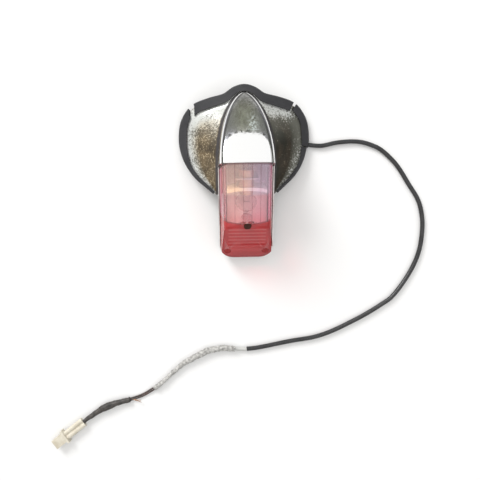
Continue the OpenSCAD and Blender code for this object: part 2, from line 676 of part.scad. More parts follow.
module bulb_glass() color([0.9, 0.95, 1, 0.4]) bulb_frame() difference() {
    union() {
        translate([0, 0, globe_at]) sphere(r = globe_r);
        translate([0, 0, cap_at + 3]) cylinder(r = neck_r, h = globe_at - cap_at - 9);
    }
    translate([0, 0, globe_at]) sphere(r = globe_r - glass_wall);
    translate([0, 0, cap_at]) cylinder(r = neck_r - glass_wall, h = globe_at - cap_at - 6);
}
module bulb_filament() color(steel) bulb_frame() {
    for (x = [-1, 1]) translate([x * filament_half, 0, cap_at + 1.2]) cylinder(r = 0.35, h = globe_at - cap_at - 1.2);
    translate([-filament_half - 0.6, 0, globe_at]) rotate([0, 90, 0]) cylinder(r = 0.6, h = 2 * filament_half + 1.2);
    translate([-filament_half - 0.3, -0.6, cap_at + 8]) cube([2 * filament_half + 0.6, 1.2, 1.5]);
}

// Base: half of the plate's outline, which narrows to the front as the hood does
pillar_screw_r = 1.6;
clip_hole_r = 1.4;
base_taper = [9, 18];
BASE_SIDE = [[base_w, base_rear], [base_w, base_front - base_taper[1]], [base_w - base_taper[0], base_front],
    [0, base_front]];
frame_rivet_at = [[-15, -6], [15, -6]];
bracket_rivet_y = joint_y + rivet_head_r + 0.25;
bracket_rivet_at = [[-8, bracket_rivet_y], [8, bracket_rivet_y]];
module rivet_holes(at) {
    for (p = at) translate([p[0], p[1], 0]) cylinder(r = rivet_r + screw_play, h = 60);
}
module rivets(at, low, high) {
    color(steel) for (p = at) translate([p[0], p[1], 0]) {
        translate([0, 0, low - 1]) cylinder(r = rivet_r, h = high - low + 2);
        translate([0, 0, low - 1]) cylinder(r = rivet_head_r, h = 1);
        translate([0, 0, high]) cylinder(r = rivet_head_r, h = 1);
    }
}
module base_plate() color(steel) difference() {
    translate([0, 0, base_z]) linear_extrude(base_t) polygon([for (side = [1, -1])
        for (p = side > 0 ? BASE_SIDE : [for (k = [3:-1:0]) BASE_SIDE[k]]) [side * p[0], p[1]]]);
    for (y = [stud_rear_y, stud_front_y]) translate([0, y, 0]) cylinder(r = stud_press_r + screw_play, h = 2 * base_z);
    rivet_holes(frame_rivet_at);
    rivet_holes(bracket_rivet_at);
    for (x = [-1, 1]) translate([x * pillar_x, pillar_y, base_z - eps])
        cylinder(r1 = pillar_screw_r + 1.6, r2 = pillar_screw_r + screw_play, h = base_t + 2 * eps);
    for (y = clip_screw_y) translate([clip_x, y, 0]) cylinder(r = clip_hole_r, h = 60);
}
module mounting_studs() color(steel) for (y = [stud_rear_y, stud_front_y]) translate([0, y, 0]) {
    translate([0, 0, base_z - stud_len]) cylinder(r = stud_r, h = stud_len);
    translate([0, 0, base_z]) cylinder(r = stud_press_r, h = base_t);
    translate([0, 0, base_z + base_t]) cylinder(r = stud_head_r, h = stud_head_t);
}
module frame_rivets() rivets(frame_rivet_at, base_z - floor_t, base_z + base_t);
module bracket_rivets() rivets(bracket_rivet_at, base_z, base_z + base_t + bracket_t);
pillar_top = hood_z(pillar_x + pillar_r, pillar_y + pillar_r) - hood_wall - 1;
module housing_pillars() color(chrome) for (x = [-1, 1]) translate([x * pillar_x, pillar_y, base_z + base_t])
    difference() {
        cylinder(r = pillar_r, h = pillar_top - base_z - base_t);
        translate([0, 0, -1]) cylinder(r = pillar_screw_r + screw_play, h = 11);
    }
module pillar_screws() color(steel) for (x = [-1, 1]) translate([x * pillar_x, pillar_y, base_z]) {
    cylinder(r1 = pillar_screw_r + 1.5, r2 = pillar_screw_r, h = base_t);
    cylinder(r = pillar_screw_r, h = base_t + 9);
}

// Lead inside the housing, its clip and the wires to the lamp holder
lead_z = base_z + base_t + lead_r + 0.1;
clip_x = 14;
clip_t = 1.1;
clip_w = 6;
clip_half = 8.4;
clip_screw_y = [lead_y - 6.1, lead_y + 6.1];
INNER = [lead_exit, [66, lead_y, 3], [55, lead_y, 10], [43, lead_y, 19.2], [32.5, lead_y, 27.8],
    [24, lead_y, 32.3], [16, lead_y, lead_z], [8, lead_y, lead_z]];
module lead_inner() color(rubber) tube(INNER, lead_r, 24, 10);
module cable_clip() color(steel) difference() {
    union() {
        translate([clip_x - clip_w / 2, lead_y, lead_z]) rotate([0, 90, 0])
            cylinder(r = lead_r + 0.1 + clip_t, h = clip_w);
        translate([clip_x - clip_w / 2, lead_y - clip_half, base_z + base_t]) cube([clip_w, 2 * clip_half, clip_t]);
    }
    translate([clip_x - clip_w, lead_y, lead_z]) rotate([0, 90, 0]) cylinder(r = lead_r + 0.1, h = 2 * clip_w);
    translate([clip_x - clip_w, lead_y - lead_r + 0.4, base_z]) cube([2 * clip_w, 2 * lead_r - 0.8, lead_z - base_z]);
    translate([0, 0, base_z + base_t - 2 * base_t]) cube([2 * base_w, base_front, 2 * base_t]);
    for (y = clip_screw_y) translate([clip_x, y, 0]) cylinder(r = clip_hole_r, h = 60);
}
module clip_screws() color(steel) for (y = clip_screw_y) translate([clip_x, y, base_z - 0.5]) {
    cylinder(r = clip_hole_r - screw_play, h = base_t + clip_t + 0.5);
    translate([0, 0, base_t + clip_t + 0.5]) cylinder(r = 2.3, h = 1.3);
}
WIRE_IN = [[8, lead_y, lead_z], [4, 31, lead_z + 0.9], [2, 24, 37], [1.4, 13, 46], [1.4, 5, 51], [1.4, -0.2, 49.6],
    [1.4, -4, 48.1]];
module socket_wires() color("firebrick") for (side = [-1, 1])
    tube([for (p = WIRE_IN) [p[0] > 3 ? p[0] : p[0] * side, p[1] - (p[0] > 3 ? side * 1.2 : 0), p[2]]], wire_r, 24, 8);

// Free lead: each route's points are chosen on the photographed line
SHEATH = laid([[74, 33.5, 2.6], [89, 32.5, 2.5], [106, 36, 2.5], [124, 37.5, 2.5], [138, 36, 2.5], [154, 30, 2.5],
    [166, 20.5, 2.5], [177, 8, 2.5], [189, -11.5, 2.5], [199.5, -29, 2.5], [204, -46.5, 2.5], [204.5, -64, 2.5],
    [201.5, -85, 2.5], [195, -103, 2.5], [184, -122, 2.5], [170, -140, 2.5], [157, -149.5, 2.5], [140, -160, 2.5],
    [122, -169.5, 2.5], [101, -179.5, 2.5], [80, -186.5, 2.5], [53.5, -191, 2.5], [19, -198, 2.5],
    [3.5, -200, 2.5]]);
SLEEVE = laid([[3.5, -200, 2.5], [-3, -200, 2.5], [-10, -199.7, 2.5]]);
TAPE = laid([[-10, -199.7, 3.4], [-24, -199, 3.4], [-40.5, -202, 3.4], [-57, -210, 3.4], [-70, -217.5, 3.4],
    [-81, -227, 3.4], [-94, -239, 3.4], [-102, -245, 3.4]]);
WIRES = laid([[-102, -245, 2.4], [-115, -253, 1.2], [-130, -258, 2.2]]);
BLACK = laid([[-130, -258, 3.1], [-147, -262.5, 3.1], [-161.5, -268.5, 3.1], [-170, -274, 3.3], [-179, -280, 4.4],
    [-182.5, -282.8, 4.6]]);
module lead_sheath() color(rubber) tube(SHEATH, lead_r, 52, 10);
module inner_sleeve() color("white") tube(SLEEVE, sleeve_r, 3, 8);
module tape_wrap() color([0.6, 0.6, 0.6]) tube(TAPE, tape_r, 18, 10);
module lead_wires() color(rubber) for (side = [-1, 1])
    tube([for (p = WIRES) p + 1.05 * side * [-0.5, 0.87, 0]], wire_r, 8, 8);
module black_tape_wrap() color(rubber) tube(BLACK, black_tape_r, 12, 10);
plug_at = BLACK[len(BLACK) - 1];
plug_turn = 218.4 + lead_turn;
nose_w = 11.2;
nose_h = 7.2;
module plug() {
    translate(plug_at) rotate(plug_turn) children();
}
module passages(from, to, r) {
    for (y = [-1, 1]) translate([from, y * barrel_r, 0]) rotate([0, 90, 0]) cylinder(r = r, h = to - from);
}
module connector_housing() color(cream) plug() difference() {
    union() {
        passages(0, barrel_len, barrel_r);
        translate([0, -barrel_r, -1.4]) cube([barrel_len, 2 * barrel_r, 2.8]);
        translate([barrel_len, -flange_w / 2, -flange_h / 2]) cube([flange_t, flange_w, flange_h]);
        translate([barrel_len + flange_t, -nose_w / 2, -nose_h / 2]) cube([nose_len, nose_w, nose_h]);
    }
    passages(2, barrel_len + flange_t + nose_len + 1, passage_r);
}
module connector_terminals() color("goldenrod") plug() difference() {
    passages(2, barrel_len + flange_t + nose_len - 2, passage_r - 0.1);
    passages(14, barrel_len + flange_t + nose_len, passage_r - 0.6);
}

housing_shell();
lens_frame();
trim_top();
trim_left();
trim_right_upper();
trim_right_lower();
lens();
lens_gasket();
lens_post_screw();
lens_corner_screws();
plate_window();
window_screws();
reflector();
socket_bracket();
socket_shell();
contact_carrier();
contact_studs();
contact_spring();
bulb_cap();
bulb_glass();
bulb_filament();
base_plate();
mounting_studs();
frame_rivets();
bracket_rivets();
housing_pillars();
pillar_screws();
cable_clip();
clip_screws();
lead_inner();
socket_wires();
lead_sheath();
inner_sleeve();
tape_wrap();
lead_wires();
black_tape_wrap();
connector_housing();
connector_terminals();
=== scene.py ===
# %% [markdown]
# This lesson dresses a winged motorcycle tail light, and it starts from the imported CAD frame.
# The frame gives every node in metres, so each new piece is put where the node already is.
# The numbers that describe the whole object come first, then its helpers, then each piece in turn.

# %% The frame and Blender's tools
import json
import math
import bmesh
import bpy
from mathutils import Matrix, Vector, noise


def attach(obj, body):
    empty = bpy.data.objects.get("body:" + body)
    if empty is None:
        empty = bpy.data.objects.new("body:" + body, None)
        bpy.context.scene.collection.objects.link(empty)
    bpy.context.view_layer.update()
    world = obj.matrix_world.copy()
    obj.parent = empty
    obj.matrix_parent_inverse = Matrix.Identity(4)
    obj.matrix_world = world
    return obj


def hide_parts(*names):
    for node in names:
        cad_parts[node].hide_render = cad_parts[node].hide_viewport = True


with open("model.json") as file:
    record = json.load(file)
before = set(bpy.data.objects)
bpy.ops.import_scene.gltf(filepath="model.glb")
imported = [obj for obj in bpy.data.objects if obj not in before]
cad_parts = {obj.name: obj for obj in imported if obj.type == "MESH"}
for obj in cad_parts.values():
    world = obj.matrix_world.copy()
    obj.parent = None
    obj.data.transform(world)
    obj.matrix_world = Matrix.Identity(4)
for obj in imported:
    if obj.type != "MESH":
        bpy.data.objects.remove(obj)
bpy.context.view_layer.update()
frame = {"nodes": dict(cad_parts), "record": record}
scene = bpy.context.scene
MM = 0.001

# %% [markdown]
# The photograph was taken from nearly straight above, a little to the left of the middle.
# A lens shift keeps the sensor parallel to the table, so the outline isn't pulled out of square.
# The light stood one degree askew to the picture's edges, so the camera is turned by that angle instead.

# %% Camera
ASKEW = math.radians(-1)
PICTURE_SHIFT = 0.9


def laid(x, y, z):
    """A point measured on the picture, in millimetres, in the light's own axes."""
    x -= PICTURE_SHIFT
    return (x * math.cos(ASKEW) - y * math.sin(ASKEW), x * math.sin(ASKEW) + y * math.cos(ASKEW), z)


EYE_ON_PICTURE = (-27, -75.4, 600)
EYE = Vector(laid(*EYE_ON_PICTURE)) * MM
PICTURE_WIDTH = 552 * MM
PICTURE_MIDDLE_X = -4 * MM
SENSOR_WIDTH = 36
CLIP_NEAR, CLIP_FAR = 0.05, 10
camera_data = bpy.data.cameras.new("camera")
camera = bpy.data.objects.new("camera", camera_data)
scene.collection.objects.link(camera)
camera.location = EYE
camera.rotation_euler = (0, 0, ASKEW)
camera_data.sensor_fit = "HORIZONTAL"
camera_data.sensor_width = SENSOR_WIDTH
camera_data.lens = SENSOR_WIDTH * EYE.z / PICTURE_WIDTH
camera_data.shift_x = (PICTURE_MIDDLE_X - EYE_ON_PICTURE[0] * MM) / PICTURE_WIDTH
camera_data.clip_start, camera_data.clip_end = CLIP_NEAR, CLIP_FAR
scene.camera = camera
scene.view_settings.view_transform = "Standard"
print("focal length", round(camera_data.lens, 1), "shift", round(camera_data.shift_x, 4))

# %% [markdown]
# A few small helpers do the work that every piece needs.
# One makes a curve that passes through a list of chosen points.
# One copies a CAD node's loose triangles, welds them and smooths all but the real edges.
# One puts a piece on the body that carries it, hides the CAD nodes it stands for and gives it its finish.


# %% Helpers
def smooth_route(points):
    """A Bezier spline whose handles are a sixth of the way between a point's neighbours."""
    curve = bpy.data.curves.new("route", "CURVE")
    curve.dimensions = "3D"
    spline = curve.splines.new("BEZIER")
    spline.bezier_points.add(len(points) - 1)
    last = len(points) - 1
    for i, (knot, place) in enumerate(zip(spline.bezier_points, points)):
        before, after = points[max(i - 1, 0)], points[min(i + 1, last)]
        knot.co = place
        knot.handle_left_type = knot.handle_right_type = "FREE"
        knot.handle_left = Vector(place) - (Vector(after) - Vector(before)) / 6
        knot.handle_right = Vector(place) + (Vector(after) - Vector(before)) / 6
    return curve


def add(name, data):
    piece = bpy.data.objects.new(name, data)
    scene.collection.objects.link(piece)
    return piece


def wear(piece, material):
    piece.data.materials.clear()
    piece.data.materials.append(material)


def hand_over(piece, body, material, nodes=()):
    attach(piece, body)
    if nodes:
        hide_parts(*nodes)
    wear(piece, material)


def smooth_by_angle(mesh, degrees):
    mesh.shade_smooth()
    mesh.set_sharp_from_angle(angle=math.radians(degrees))


WELD = 0.02 * MM


def welded_copy(source, name, degrees=35):
    bm = bmesh.new()
    bm.from_mesh(frame["nodes"][source].data)
    bmesh.ops.remove_doubles(bm, verts=bm.verts, dist=WELD)
    bmesh.ops.dissolve_degenerate(bm, edges=bm.edges, dist=WELD)
    mesh = bpy.data.meshes.new(name)
    bm.to_mesh(mesh)
    bm.free()
    smooth_by_angle(mesh, degrees)
    print(name, "from", source, len(mesh.vertices), "vertices")
    return add(name, mesh)

# %% [markdown]
# The lead leaves under the right wing and curls across the table to its plug.
# Each route below repeats the CAD route's points, in millimetres, so a cord lies where its solid does.
# They were measured on the picture, so each one is laid in the light's own axes by the camera's helper.

# %% Routes of the lead
SHEATH_ROUTE = [
    (74, 33.5, 2.6), (89, 32.5, 2.5), (106, 36, 2.5), (124, 37.5, 2.5), (138, 36, 2.5), (154, 30, 2.5),
    (166, 20.5, 2.5), (177, 8, 2.5), (189, -11.5, 2.5), (199.5, -29, 2.5), (204, -46.5, 2.5),
    (204.5, -64, 2.5), (201.5, -85, 2.5), (195, -103, 2.5), (184, -122, 2.5), (170, -140, 2.5),
    (157, -149.5, 2.5), (140, -160, 2.5), (122, -169.5, 2.5), (101, -179.5, 2.5), (80, -186.5, 2.5),
    (53.5, -191, 2.5), (19, -198, 2.5), (3.5, -200, 2.5)]
SLEEVE_ROUTE = [(3.5, -200, 2.5), (-3, -200, 2.5), (-10, -199.7, 2.5)]
TAPE_ROUTE = [
    (-10, -199.7, 3.4), (-24, -199, 3.4), (-40.5, -202, 3.4), (-57, -210, 3.4), (-70, -217.5, 3.4),
    (-81, -227, 3.4), (-94, -239, 3.4), (-102, -245, 3.4)]
WIRE_ROUTE = [(-102, -245, 2.4), (-115, -253, 1.2), (-130, -258, 2.2)]
BLACK_TAPE_ROUTE = [
    (-130, -258, 3.1), (-147, -262.5, 3.1), (-161.5, -268.5, 3.1), (-170, -274, 3.3), (-179, -280, 4.4),
    (-182.5, -282.8, 4.6)]


def in_metres(route):
    return [tuple(value * MM for value in laid(*point)) for point in route]


def walk_route(route, steps):
    """Points along the smooth route, by the same cubic that its Bezier handles give."""
    points = [Vector(p) for p in in_metres(route)]
    last = len(points) - 1
    made = []
    for i in range(last):
        a, b = points[max(i - 1, 0)], points[i]
        c, d = points[i + 1], points[min(i + 2, last)]
        for k in range(steps):
            t = k / steps
            made.append(0.5 * (2 * b + (c - a) * t + (2 * a - 5 * b + 4 * c - d) * t * t
                               + (3 * b - a - 3 * c + d) * t ** 3))
    return [tuple(p) for p in made] + [tuple(points[-1])]


def line_length(line):
    return sum((Vector(b) - Vector(a)).length for a, b in zip(line, line[1:]))


PRINT_STEPS = 12
for title, route in [("sheath", SHEATH_ROUTE), ("tape", TAPE_ROUTE), ("black tape", BLACK_TAPE_ROUTE)]:
    print(title, "is", round(line_length(walk_route(route, PRINT_STEPS)), 4), "m long")

# %% [markdown]
# A shiny part shows its surroundings, so the studio is drawn with care.
# Materials below are built from masks. A mask is 0 where its effect is absent and 1 where it is full.
# The sky is bright overhead and falls to a dim grey green at the horizon, as a room with a skylight does.
# A dark seam runs between the two, as the frame of the skylight would.
# A faint warm glow comes from the left, and the camera itself sees plain white in place of the sky.
# The floor is a pale sheet, and one large soft lamp at the top left gives the shadow its direction.

# %% Helpers for node trees
def new_material(name):
    material = bpy.data.materials.new(name)
    material.use_nodes = True
    return material, material.node_tree, material.node_tree.nodes["Principled BSDF"]


def connect(tree, made, inputs):
    """Each input takes the output of another node, or else a plain value."""
    for key, value in inputs.items():
        if hasattr(value, "is_output"):
            tree.links.new(value, made.inputs[key])
        else:
            made.inputs[key].default_value = value


def node(tree, kind, inputs=None, **settings):
    made = tree.nodes.new(kind)
    for key, value in settings.items():
        setattr(made, key, value)
    connect(tree, made, inputs or {})
    return made


def ramp(tree, factor, stops):
    made = node(tree, "ShaderNodeValToRGB", {"Fac": factor})
    elements = made.color_ramp.elements
    while len(elements) < len(stops):
        elements.new(0.5)
    for element, (place, shade) in zip(elements, stops):
        element.position = place
        element.color = (*shade, 1) if hasattr(shade, "__len__") else (shade, shade, shade, 1)
    return made.outputs["Color"]


def rise(tree, value, low, high):
    """0 below the low end, 1 above the high one and a straight line between them."""
    return ramp(tree, value, [(low, 0.0), (high, 1.0)])


def between(tree, mask, first, second):
    """The first value where the mask is 0 and the second where it is 1."""
    return ramp(tree, mask, [(0.0, first), (1.0, second)])


def mottle(tree, value, first, second):
    """From the first to the second over the middle of a noise's range."""
    return ramp(tree, value, [(0.3, first), (0.7, second)])


def math_node(tree, operation, *values, clamp=False):
    made = node(tree, "ShaderNodeMath", dict(enumerate(values)), operation=operation)
    made.use_clamp = clamp
    return made.outputs[0]


def product(tree, first, *others):
    for other in others:
        first = math_node(tree, "MULTIPLY", first, other)
    return first


def opposite(tree, mask):
    return math_node(tree, "SUBTRACT", 1.0, mask)


def soft_step(tree, value, slope):
    """0.5 where the value is 0, going up by the slope and kept between 0 and 1."""
    return math_node(tree, "MULTIPLY_ADD", value, slope, 0.5, clamp=True)


def blend_colours(tree, factor, first, second, mode="MIX"):
    made = node(tree, "ShaderNodeMix", data_type="RGBA", blend_type=mode)
    for socket, value in ((made.inputs[0], factor), (made.inputs[6], first), (made.inputs[7], second)):
        if hasattr(value, "is_output"):
            tree.links.new(value, socket)
        else:
            socket.default_value = (*value, 1) if hasattr(value, "__len__") else value
    return made.outputs[2]


def paint_over(tree, mask, strength, under, over):
    """The second colour laid over the first where the mask is, and no stronger than asked."""
    return blend_colours(tree, math_node(tree, "MULTIPLY", mask, strength), under, over)


def stripe(tree, value, place, half):
    """1 where the value is at the place and 0 from half away, with a soft edge."""
    away = math_node(tree, "ABSOLUTE", math_node(tree, "SUBTRACT", value, place))
    return math_node(tree, "SUBTRACT", 1.0, math_node(tree, "DIVIDE", away, half), clamp=True)


def stripes(tree, value, places, half):
    """The stripes at all of these places together."""
    together = stripe(tree, value, places[0], half)
    for place in places[1:]:
        together = math_node(tree, "MAXIMUM", together, stripe(tree, value, place, half))
    return together


def noise_at(tree, place, scale, detail=3, roughness=0.5, distortion=0):
    made = node(tree, "ShaderNodeTexNoise", {
        "Vector": place, "Scale": scale, "Detail": detail, "Roughness": roughness,
        "Distortion": distortion})
    return made.outputs["Fac"]


def add_relief(tree, shader, height, strength, depth):
    relief = node(tree, "ShaderNodeBump", {"Height": height, "Strength": strength, "Distance": depth})
    tree.links.new(relief.outputs[0], shader.inputs["Normal"])


def object_place(tree):
    return node(tree, "ShaderNodeTexCoord").outputs["Object"]


def place_and_axes(tree):
    place = object_place(tree)
    return place, node(tree, "ShaderNodeSeparateXYZ", {0: place}).outputs


# %% Sky
SKY_HIGH, SKY_MIDDLE, SKY_LOW = (1.0, 1.0, 1.0), (0.24, 0.25, 0.21), (0.10, 0.095, 0.085)
SKY_SEAM, LEFT_GLOW, SEEN_WHITE = (0.10, 0.10, 0.09), (0.08, 0.07, 0.05), (0.96, 0.96, 0.955)
SKY_STOPS = [(0.0, SKY_LOW), (0.10, SKY_MIDDLE), (0.305, SKY_MIDDLE), (0.323, SKY_SEAM), (0.335, SKY_SEAM),
             (0.355, SKY_HIGH)]
world = bpy.data.worlds.new("studio")
scene.world = world
world.use_nodes = True
sky = world.node_tree
direction = node(sky, "ShaderNodeTexCoord").outputs["Generated"]
axes = node(sky, "ShaderNodeSeparateXYZ", {0: direction}).outputs
left_share = rise(sky, soft_step(sky, axes["X"], -0.5), 0.3, 0.9)
sky_shade = blend_colours(sky, left_share, ramp(sky, axes["Z"], SKY_STOPS), LEFT_GLOW, "ADD")
from_camera = node(sky, "ShaderNodeLightPath").outputs["Is Camera Ray"]
sky_shade = blend_colours(sky, from_camera, sky_shade, SEEN_WHITE)
connect(sky, sky.nodes["Background"], {"Color": sky_shade, "Strength": 1.0})
print("the sky is fully bright above a height of", SKY_STOPS[-1][0])

# %% Floor
FLOOR_SIZE, FLOOR_SHADE, FLOOR_LIFT = 6.0, (0.75, 0.748, 0.745, 1), 0.05
bm = bmesh.new()
bmesh.ops.create_grid(bm, x_segments=1, y_segments=1, size=FLOOR_SIZE / 2)
floor_mesh = bpy.data.meshes.new("floor")
bm.to_mesh(floor_mesh)
bm.free()
add("floor", floor_mesh)
floor_paint, tree, shader = new_material("floor_paint")
connect(tree, shader, {"Base Color": FLOOR_SHADE, "Roughness": 0.9, "Specular IOR Level": 0.1})
rays = node(tree, "ShaderNodeLightPath").outputs
seen_ray = math_node(tree, "MAXIMUM", rays["Is Camera Ray"], rays["Is Transmission Ray"])
lift = math_node(tree, "MULTIPLY", seen_ray, FLOOR_LIFT)
glow = node(tree, "ShaderNodeEmission", {"Color": (1, 1, 1, 1), "Strength": lift})
both = node(tree, "ShaderNodeAddShader", {0: shader.outputs[0], 1: glow.outputs[0]})
tree.links.new(both.outputs[0], tree.nodes["Material Output"].inputs["Surface"])
floor_mesh.materials.append(floor_paint)
print("floor", FLOOR_SIZE, "m square")

# %% Lamps
LAMPS = [("soft_lamp", (-2.3, 3.15, 2.4), 1.7, 160.0), ("fill_lamp", (1.8, -1.0, 2.4), 2.0, 6.0)]
LAMP_AIM = Vector((0, -0.05, 0))
for lamp_name, place, size, power in LAMPS:
    lamp_data = bpy.data.lights.new(lamp_name, "AREA")
    lamp_data.size, lamp_data.energy = size, power
    lamp = add(lamp_name, lamp_data)
    lamp.location = place
    lamp.rotation_euler = (LAMP_AIM - Vector(place)).to_track_quat("-Z", "Y").to_euler()
    print(lamp_name, "at", place, "with", power, "W")

# %% [markdown]
# Rubber and plastic are dull on a fine scale, so their materials share one recipe.
# A slow noise shifts the shade a little, and a fine noise sets the roughness and a bump.
# The scales of both are for a place in metres, and the depth of the grain is in millimetres.


# %% Recipe for rubber, plastic and tape
def dull_material(name, dark, light, rough, patch=60, grain=1500, bump=0.3, grain_depth=0.2,
                  specular=0.5):
    material, tree, shader = new_material(name)
    place = object_place(tree)
    patches = noise_at(tree, place, patch, detail=4)
    grains = noise_at(tree, place, grain, detail=2)
    connect(tree, shader, {
        "Base Color": mottle(tree, patches, dark, light), "Roughness": mottle(tree, grains, *rough),
        "Specular IOR Level": specular})
    add_relief(tree, shader, grains, bump, grain_depth * MM)
    return material


sheath_black = dull_material(
    "sheath_black", (0.012, 0.012, 0.013), (0.03, 0.03, 0.031), (0.22, 0.4), patch=90)
sleeve_white = dull_material("sleeve_white", (0.40, 0.40, 0.39), (0.54, 0.54, 0.52), (0.4, 0.6))
tape_grey = dull_material(
    "tape_grey", (0.20, 0.195, 0.185), (0.60, 0.59, 0.565), (0.25, 0.55), patch=330, grain=700, bump=1.0,
    grain_depth=0.8)
tape_black = dull_material(
    "tape_black", (0.018, 0.016, 0.015), (0.075, 0.065, 0.058), (0.35, 0.6), patch=240, grain=900, bump=0.8,
    grain_depth=0.5)
wire_dark = dull_material("wire_dark", (0.02, 0.016, 0.015), (0.09, 0.05, 0.04), (0.3, 0.5), patch=150)
print("lead materials made")

# %% [markdown]
# The sheathed part of the lead is one round section along its route, so a bevelled curve makes it.
# The curve is then turned into a mesh, because the frame measures a mesh exactly and a curve only loosely.
# Its end under the wing is covered by the inner stretch of the lead, which stays the CAD's own solid.


# %% Round cords
ROUND_DEGREES = 50


def tube_mesh(name, route, radius, around, along):
    """A round tube along the route, closed at both ends, as a mesh."""
    curve = smooth_route(in_metres(route))
    curve.bevel_depth = radius * MM
    curve.bevel_resolution = around
    curve.resolution_u = along
    curve.use_fill_caps = True
    draft = add(name + "_draft", curve)
    mesh = bpy.data.meshes.new_from_object(draft)
    bpy.data.objects.remove(draft)
    mesh.name = name
    bm = bmesh.new()
    bm.from_mesh(mesh)
    bmesh.ops.remove_doubles(bm, verts=bm.verts, dist=WELD)
    bmesh.ops.recalc_face_normals(bm, faces=bm.faces)
    bm.to_mesh(mesh)
    bm.free()
    smooth_by_angle(mesh, ROUND_DEGREES)
    return mesh


def round_cord(name, route, radius):
    return add(name, tube_mesh(name, route, radius, around=5, along=10))


SHEATH_R, SLEEVE_R, WIRE_R, WIRE_APART = 2.5, 2.3, 0.9, (-0.525, 0.914)
SHEATH_STEPS = 6
sheath = round_cord("lead_sheath_cord", SHEATH_ROUTE, SHEATH_R)
hand_over(sheath, "housing", sheath_black, ["lead_sheath"])
sleeve = round_cord("white_inner_sleeve", SLEEVE_ROUTE, SLEEVE_R)
hand_over(sleeve, "housing", sleeve_white, ["inner_sleeve"])
for side, title in ((1, "upper"), (-1, "lower")):
    line = [(x + side * WIRE_APART[0], y + side * WIRE_APART[1], z) for x, y, z in WIRE_ROUTE]
    wire = round_cord("lead_wire_" + title, line, WIRE_R)
    hand_over(wire, "housing", wire_dark, ["lead_wires"])
sheath_line = walk_route(SHEATH_ROUTE, SHEATH_STEPS)

# %% [markdown]
# Tape wound round a lead is never smooth: its edge climbs in a spiral and its surface is creased.
# A bevelled curve is turned into a mesh, and each vertex is then moved out from the lead's middle.
# The move is a saw tooth that follows the spiral, a noise for the creases, and a slow swell or waist.
# Each swell is given by how far along the tape its middle is, its height and half its length.


# %% Wound tape
SLOW_CREASE, FAST_CREASE, FAST_SHARE = 420, 1100, 0.6
TAPE_STEPS, TABLE_GAP = 24, 0.05


def wound_tape(name, route, radius, pitch, lap, crease, swells):
    mesh = tube_mesh(name, route, radius, around=8, along=26)
    line = [Vector(p) for p in walk_route(route, TAPE_STEPS)]
    along = [0.0]
    for before, after in zip(line, line[1:]):
        along.append(along[-1] + (after - before).length)
    bm = bmesh.new()
    bm.from_mesh(mesh)
    for vertex in bm.verts:
        nearest = min(range(len(line)), key=lambda k: (line[k] - vertex.co).length_squared)
        out = vertex.co - line[nearest]
        ahead = (line[min(nearest + 1, len(line) - 1)] - line[max(nearest - 1, 0)]).normalized()
        out = (out - ahead * out.dot(ahead)).normalized()
        side = ahead.cross(Vector((0, 0, 1))).normalized()
        turn = math.atan2(out.z, out.dot(side)) / (2 * math.pi)
        saw = (along[nearest] / (pitch * MM) + turn) % 1.0
        slow, fast = noise.noise(vertex.co * SLOW_CREASE), noise.noise(vertex.co * FAST_CREASE)
        push = lap * saw + crease * slow + crease * FAST_SHARE * fast
        for middle, height, half in swells:
            push += height * math.exp(-((along[nearest] / MM - middle) / half) ** 2)
        vertex.co += out * push * MM
        vertex.co.z = max(vertex.co.z, TABLE_GAP * MM)
    bm.to_mesh(mesh)
    bm.free()
    smooth_by_angle(mesh, ROUND_DEGREES)
    piece = add(name, mesh)
    print(name, len(mesh.vertices), "vertices,", round(along[-1], 4), "m")
    return piece, [tuple(point) for point in line], along[-1]


TAPE_R, BLACK_TAPE_R = 3.1, 2.7
tape, tape_line, tape_length = wound_tape(
    "grey_tape_wrap", TAPE_ROUTE, TAPE_R, pitch=17, lap=0.3, crease=0.75,
    swells=[(35, 0.3, 20), (88, -1.0, 30)])
hand_over(tape, "housing", tape_grey, ["tape_wrap"])
black, black_line, black_length = wound_tape(
    "black_tape_wrapping", BLACK_TAPE_ROUTE, BLACK_TAPE_R, pitch=9, lap=0.4, crease=0.35,
    swells=[(27, 1.2, 10), (58, -0.7, 10)])
hand_over(black, "housing", tape_black, ["black_tape_wrap"])

# %% [markdown]
# Beside the end of the black tape, a few fine strands of bare copper have come loose from the wires.
# Each is a short curve of three points that starts on the wires and bends away.

# %% Loose strands
STRAND_R = 0.22
copper_wire, tree, shader = new_material("copper_wire")
copper_patch = noise_at(tree, object_place(tree), scale=900)
connect(tree, shader, {
    "Base Color": mottle(tree, copper_patch, (0.28, 0.13, 0.07), (0.62, 0.36, 0.22)),
    "Metallic": 1, "Roughness": 0.35})
STRANDS = [
    [(-127, -257.5, 2.6), (-122.5, -259.2, 3.2), (-117.5, -259.6, 3.0)],
    [(-126, -257.6, 3.2), (-121.5, -258.2, 4.2), (-116.8, -257.9, 4.4)],
    [(-124, -257.2, 2.8), (-119.5, -260.0, 3.6), (-116.5, -261.0, 3.2)]]
for number, route in enumerate(STRANDS):
    strand = round_cord(f"loose_strand_{number + 1}", route, STRAND_R)
    hand_over(strand, "housing", copper_wire)

# %% [markdown]
# The plug is moulded in one cream plastic: two barrels, a thin flange and a pale nose.
# The CAD solid has its shape, so a welded copy gets small rounded edges from a Bevel modifier.

# %% Plug
connector_cream = dull_material(
    "connector_cream", (0.50, 0.45, 0.35), (0.70, 0.66, 0.56), (0.3, 0.5), patch=140, grain=1200, bump=0.15)


def round_edges(piece, width, segments=2, degrees=40):
    bevel = piece.modifiers.new("round_edges", "BEVEL")
    bevel.width = width * MM
    bevel.segments = segments
    bevel.limit_method = "ANGLE"
    bevel.angle_limit = math.radians(degrees)
    bevel.use_clamp_overlap = True
    return piece


FACE_WEIGHT = 80


